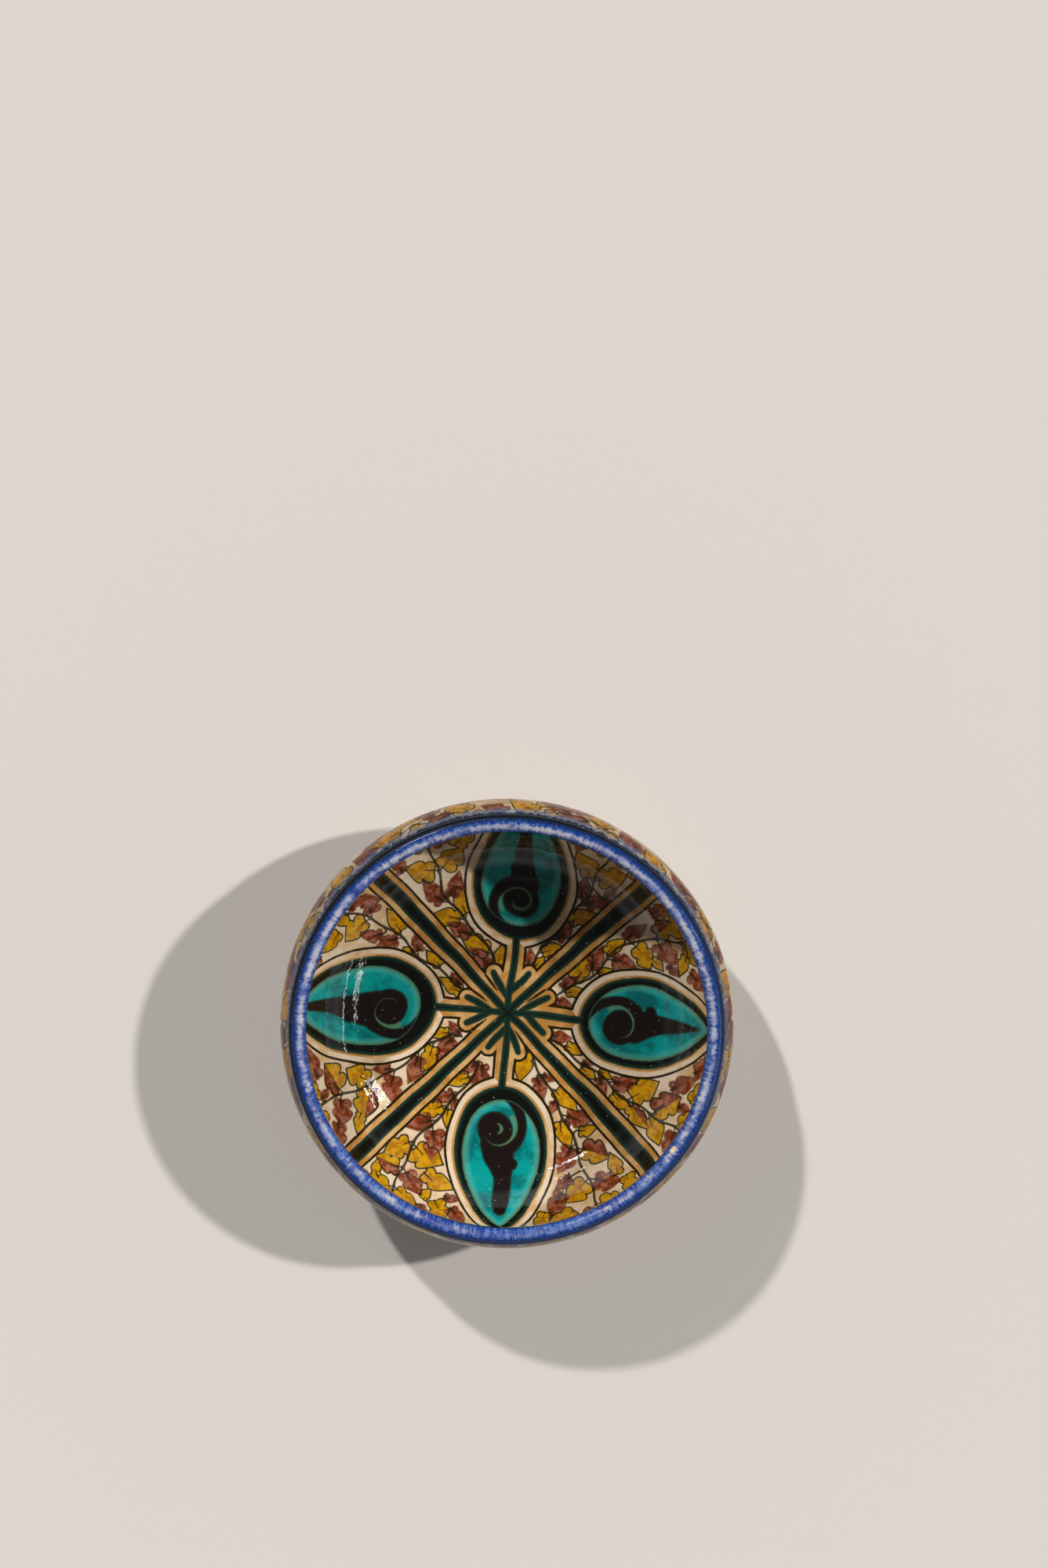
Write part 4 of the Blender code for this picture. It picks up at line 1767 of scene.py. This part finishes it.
@dataclass(frozen=True)
class Lamp:
    """A lamp aimed at the bowl.

    A key's strength is in watts per square metre and its size the degrees that it spans, a panel's strength
    in watts and its size its two sides in metres.
    """

    name: str
    kind: LampKind
    azimuth: float
    elevation: float
    strength: float
    size: tuple[float, float]
    colour: str = "#FFFFFF"

    DISTANCE = 1.5

    def build(self, target: Vector) -> None:
        """Hangs the lamp.

        Args:
            target: What it is aimed at.
        """
        light = bpy.data.lights.new(self.name, self.kind.value)
        if self.kind is LampKind.KEY:
            light.angle = math.radians(self.size[0])
        else:
            light.shape = "RECTANGLE"
            light.size, light.size_y = self.size
        light.energy = self.strength
        light.color = linear(self.colour)[:3]
        turn, rise = math.radians(self.azimuth), math.radians(self.elevation)
        out = Vector((math.cos(turn) * math.cos(rise), math.sin(turn) * math.cos(rise), math.sin(rise)))
        lamp = bpy.data.objects.new(self.name, light)
        lamp.location = target + self.DISTANCE * out
        lamp.rotation_euler = out.to_track_quat("Z", "Y").to_euler()
        lamp.visible_camera = False
        lamp.visible_diffuse = self.kind is LampKind.KEY
        lamp.visible_glossy = self.kind is LampKind.PANEL
        bpy.context.scene.collection.objects.link(lamp)


@dataclass(frozen=True)
class Studio:
    """The pale floor, the pale surroundings, the lamps and the camera, in metres and degrees."""

    floor_colour: str = "#DCDDDF"
    floor_reach: float = 4.0
    horizon: str = "#D8D6D2"
    zenith: str = "#4E4D4B"
    # Between these heights the surroundings go from the horizon's tone to the zenith's, which is at 1.
    dimming: tuple[float, float] = (0.2, 0.65)
    lamps: tuple[Lamp, ...] = (
        Lamp("right_key", LampKind.KEY, 20.0, 44.0, 2.0, (2.0, 2.0), "#FFF4E8"),
        Lamp("upper_key", LampKind.KEY, 119.0, 42.0, 1.85, (2.0, 2.0), "#FFF4E8"),
        Lamp("right_glint", LampKind.PANEL, 20.0, 44.0, 0.75, (0.2, 0.022)),
        Lamp("upper_glint", LampKind.PANEL, 119.0, 42.0, 1.8, (0.3, 0.03)),
        Lamp("side_strip", LampKind.PANEL, -14.0, 33.0, 1.2, (0.75, 0.02)),
        Lamp("window", LampKind.PANEL, 112.0, 22.0, 1.4, (1.0, 0.7)),
    )
    lamp_target: tuple[float, float, float] = (0.0, 0.0, 0.03)
    lens: float = 85.0
    sensor: float = 36.0
    mouth_pixel: tuple[float, float] = (646.0, 1315.0)
    tilt: float = 8.8
    distance: float = 1.134

    def build(self, mouth: Vector) -> None:
        """Sets the stage.

        Args:
            mouth: The middle of the bowl's mouth.
        """
        self._floor()
        self._world()
        for lamp in self.lamps:
            lamp.build(Vector(self.lamp_target))
        self._camera(mouth)
        bpy.context.scene.view_settings.view_transform = "Standard"

    def _floor(self) -> None:
        """Lays the floor."""
        reach = self.floor_reach
        mesh = bpy.data.meshes.new("floor")
        corners = [(-reach, -reach, 0), (reach, -reach, 0), (reach, reach, 0), (-reach, reach, 0)]
        mesh.from_pydata(corners, [], [(0, 1, 2, 3)])
        # Matt paper keeps a soft shadow and shows no shine.
        mesh.materials.append(Finish("matt_paper").end(self.floor_colour, Roughness=0.8))
        floor = bpy.data.objects.new("floor", mesh)
        bpy.context.scene.collection.objects.link(floor)

    def _world(self) -> None:
        """Lights the surroundings, pale at the horizon and dim overhead."""
        world = bpy.data.worlds.new("studio")
        bpy.context.scene.world = world
        world.use_nodes = True
        tree = world.node_tree
        tree.nodes.clear()
        height = put(tree, "SeparateXYZ", {0: put(tree, "TexCoord", out="Generated")}, "Z")
        share = put(tree, "MapRange", {0: height, 1: self.dimming[0], 2: self.dimming[1]}, **SOFT)
        tones = {0: share, 6: linear(self.horizon), 7: linear(self.zenith)}
        tone = put(tree, "Mix", tones, 2, data_type="RGBA")
        put(tree, "OutputWorld", {"Surface": put(tree, "Background", {"Color": tone, "Strength": 1.0})})

    def _camera(self, mouth: Vector) -> None:
        """Sets the camera so that the mouth falls where it does in the photograph.

        Args:
            mouth: The middle of the bowl's mouth.
        """
        width, height = PHOTO_SIZE
        focal = self.lens / self.sensor * max(PHOTO_SIZE)
        across, down = self.mouth_pixel
        off = Vector(((across - width / 2) / focal, (height / 2 - down) / focal, -1.0))
        turn = Matrix.Rotation(-(math.radians(self.tilt) + math.atan(off.y)), 3, "X")
        camera = bpy.data.cameras.new("photo")
        camera.lens, camera.sensor_width, camera.sensor_fit = self.lens, self.sensor, "AUTO"
        viewer = bpy.data.objects.new("photo", camera)
        place = mouth - self.distance * (turn @ off.normalized())
        viewer.matrix_world = Matrix.Translation(place) @ turn.to_4x4()
        bpy.context.scene.collection.objects.link(viewer)
        bpy.context.scene.camera = viewer


def main() -> None:
    """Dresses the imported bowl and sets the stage."""
    logging.basicConfig(level=logging.INFO)
    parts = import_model()["nodes"]
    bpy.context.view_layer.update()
    form = BowlForm.from_parts(parts)
    clay = BARE_CLAY.material()
    pieces = []
    for node in ("clay_wall", "rim_roll"):
        parts[node].data.materials.clear()
        parts[node].data.materials.append(clay)
        pieces.append(parts[node])
    pieces += [
        PaintedLining(form).build(),
        CobaltLip(form).build(),
        PaintedOutside(form).build(),
        TurnedFoot(parts["foot_ring"]).build(clay),
        BaseGlaze(parts["base_glaze"], form.glaze).build(),
    ]
    for piece in pieces:
        LOG.info("%s: %d faces", piece.name, len(piece.data.polygons))
    Studio().build(Vector((0, 0, form.lip_top - form.lip_thickness / 2)))


if __name__ == "__main__":
    main()
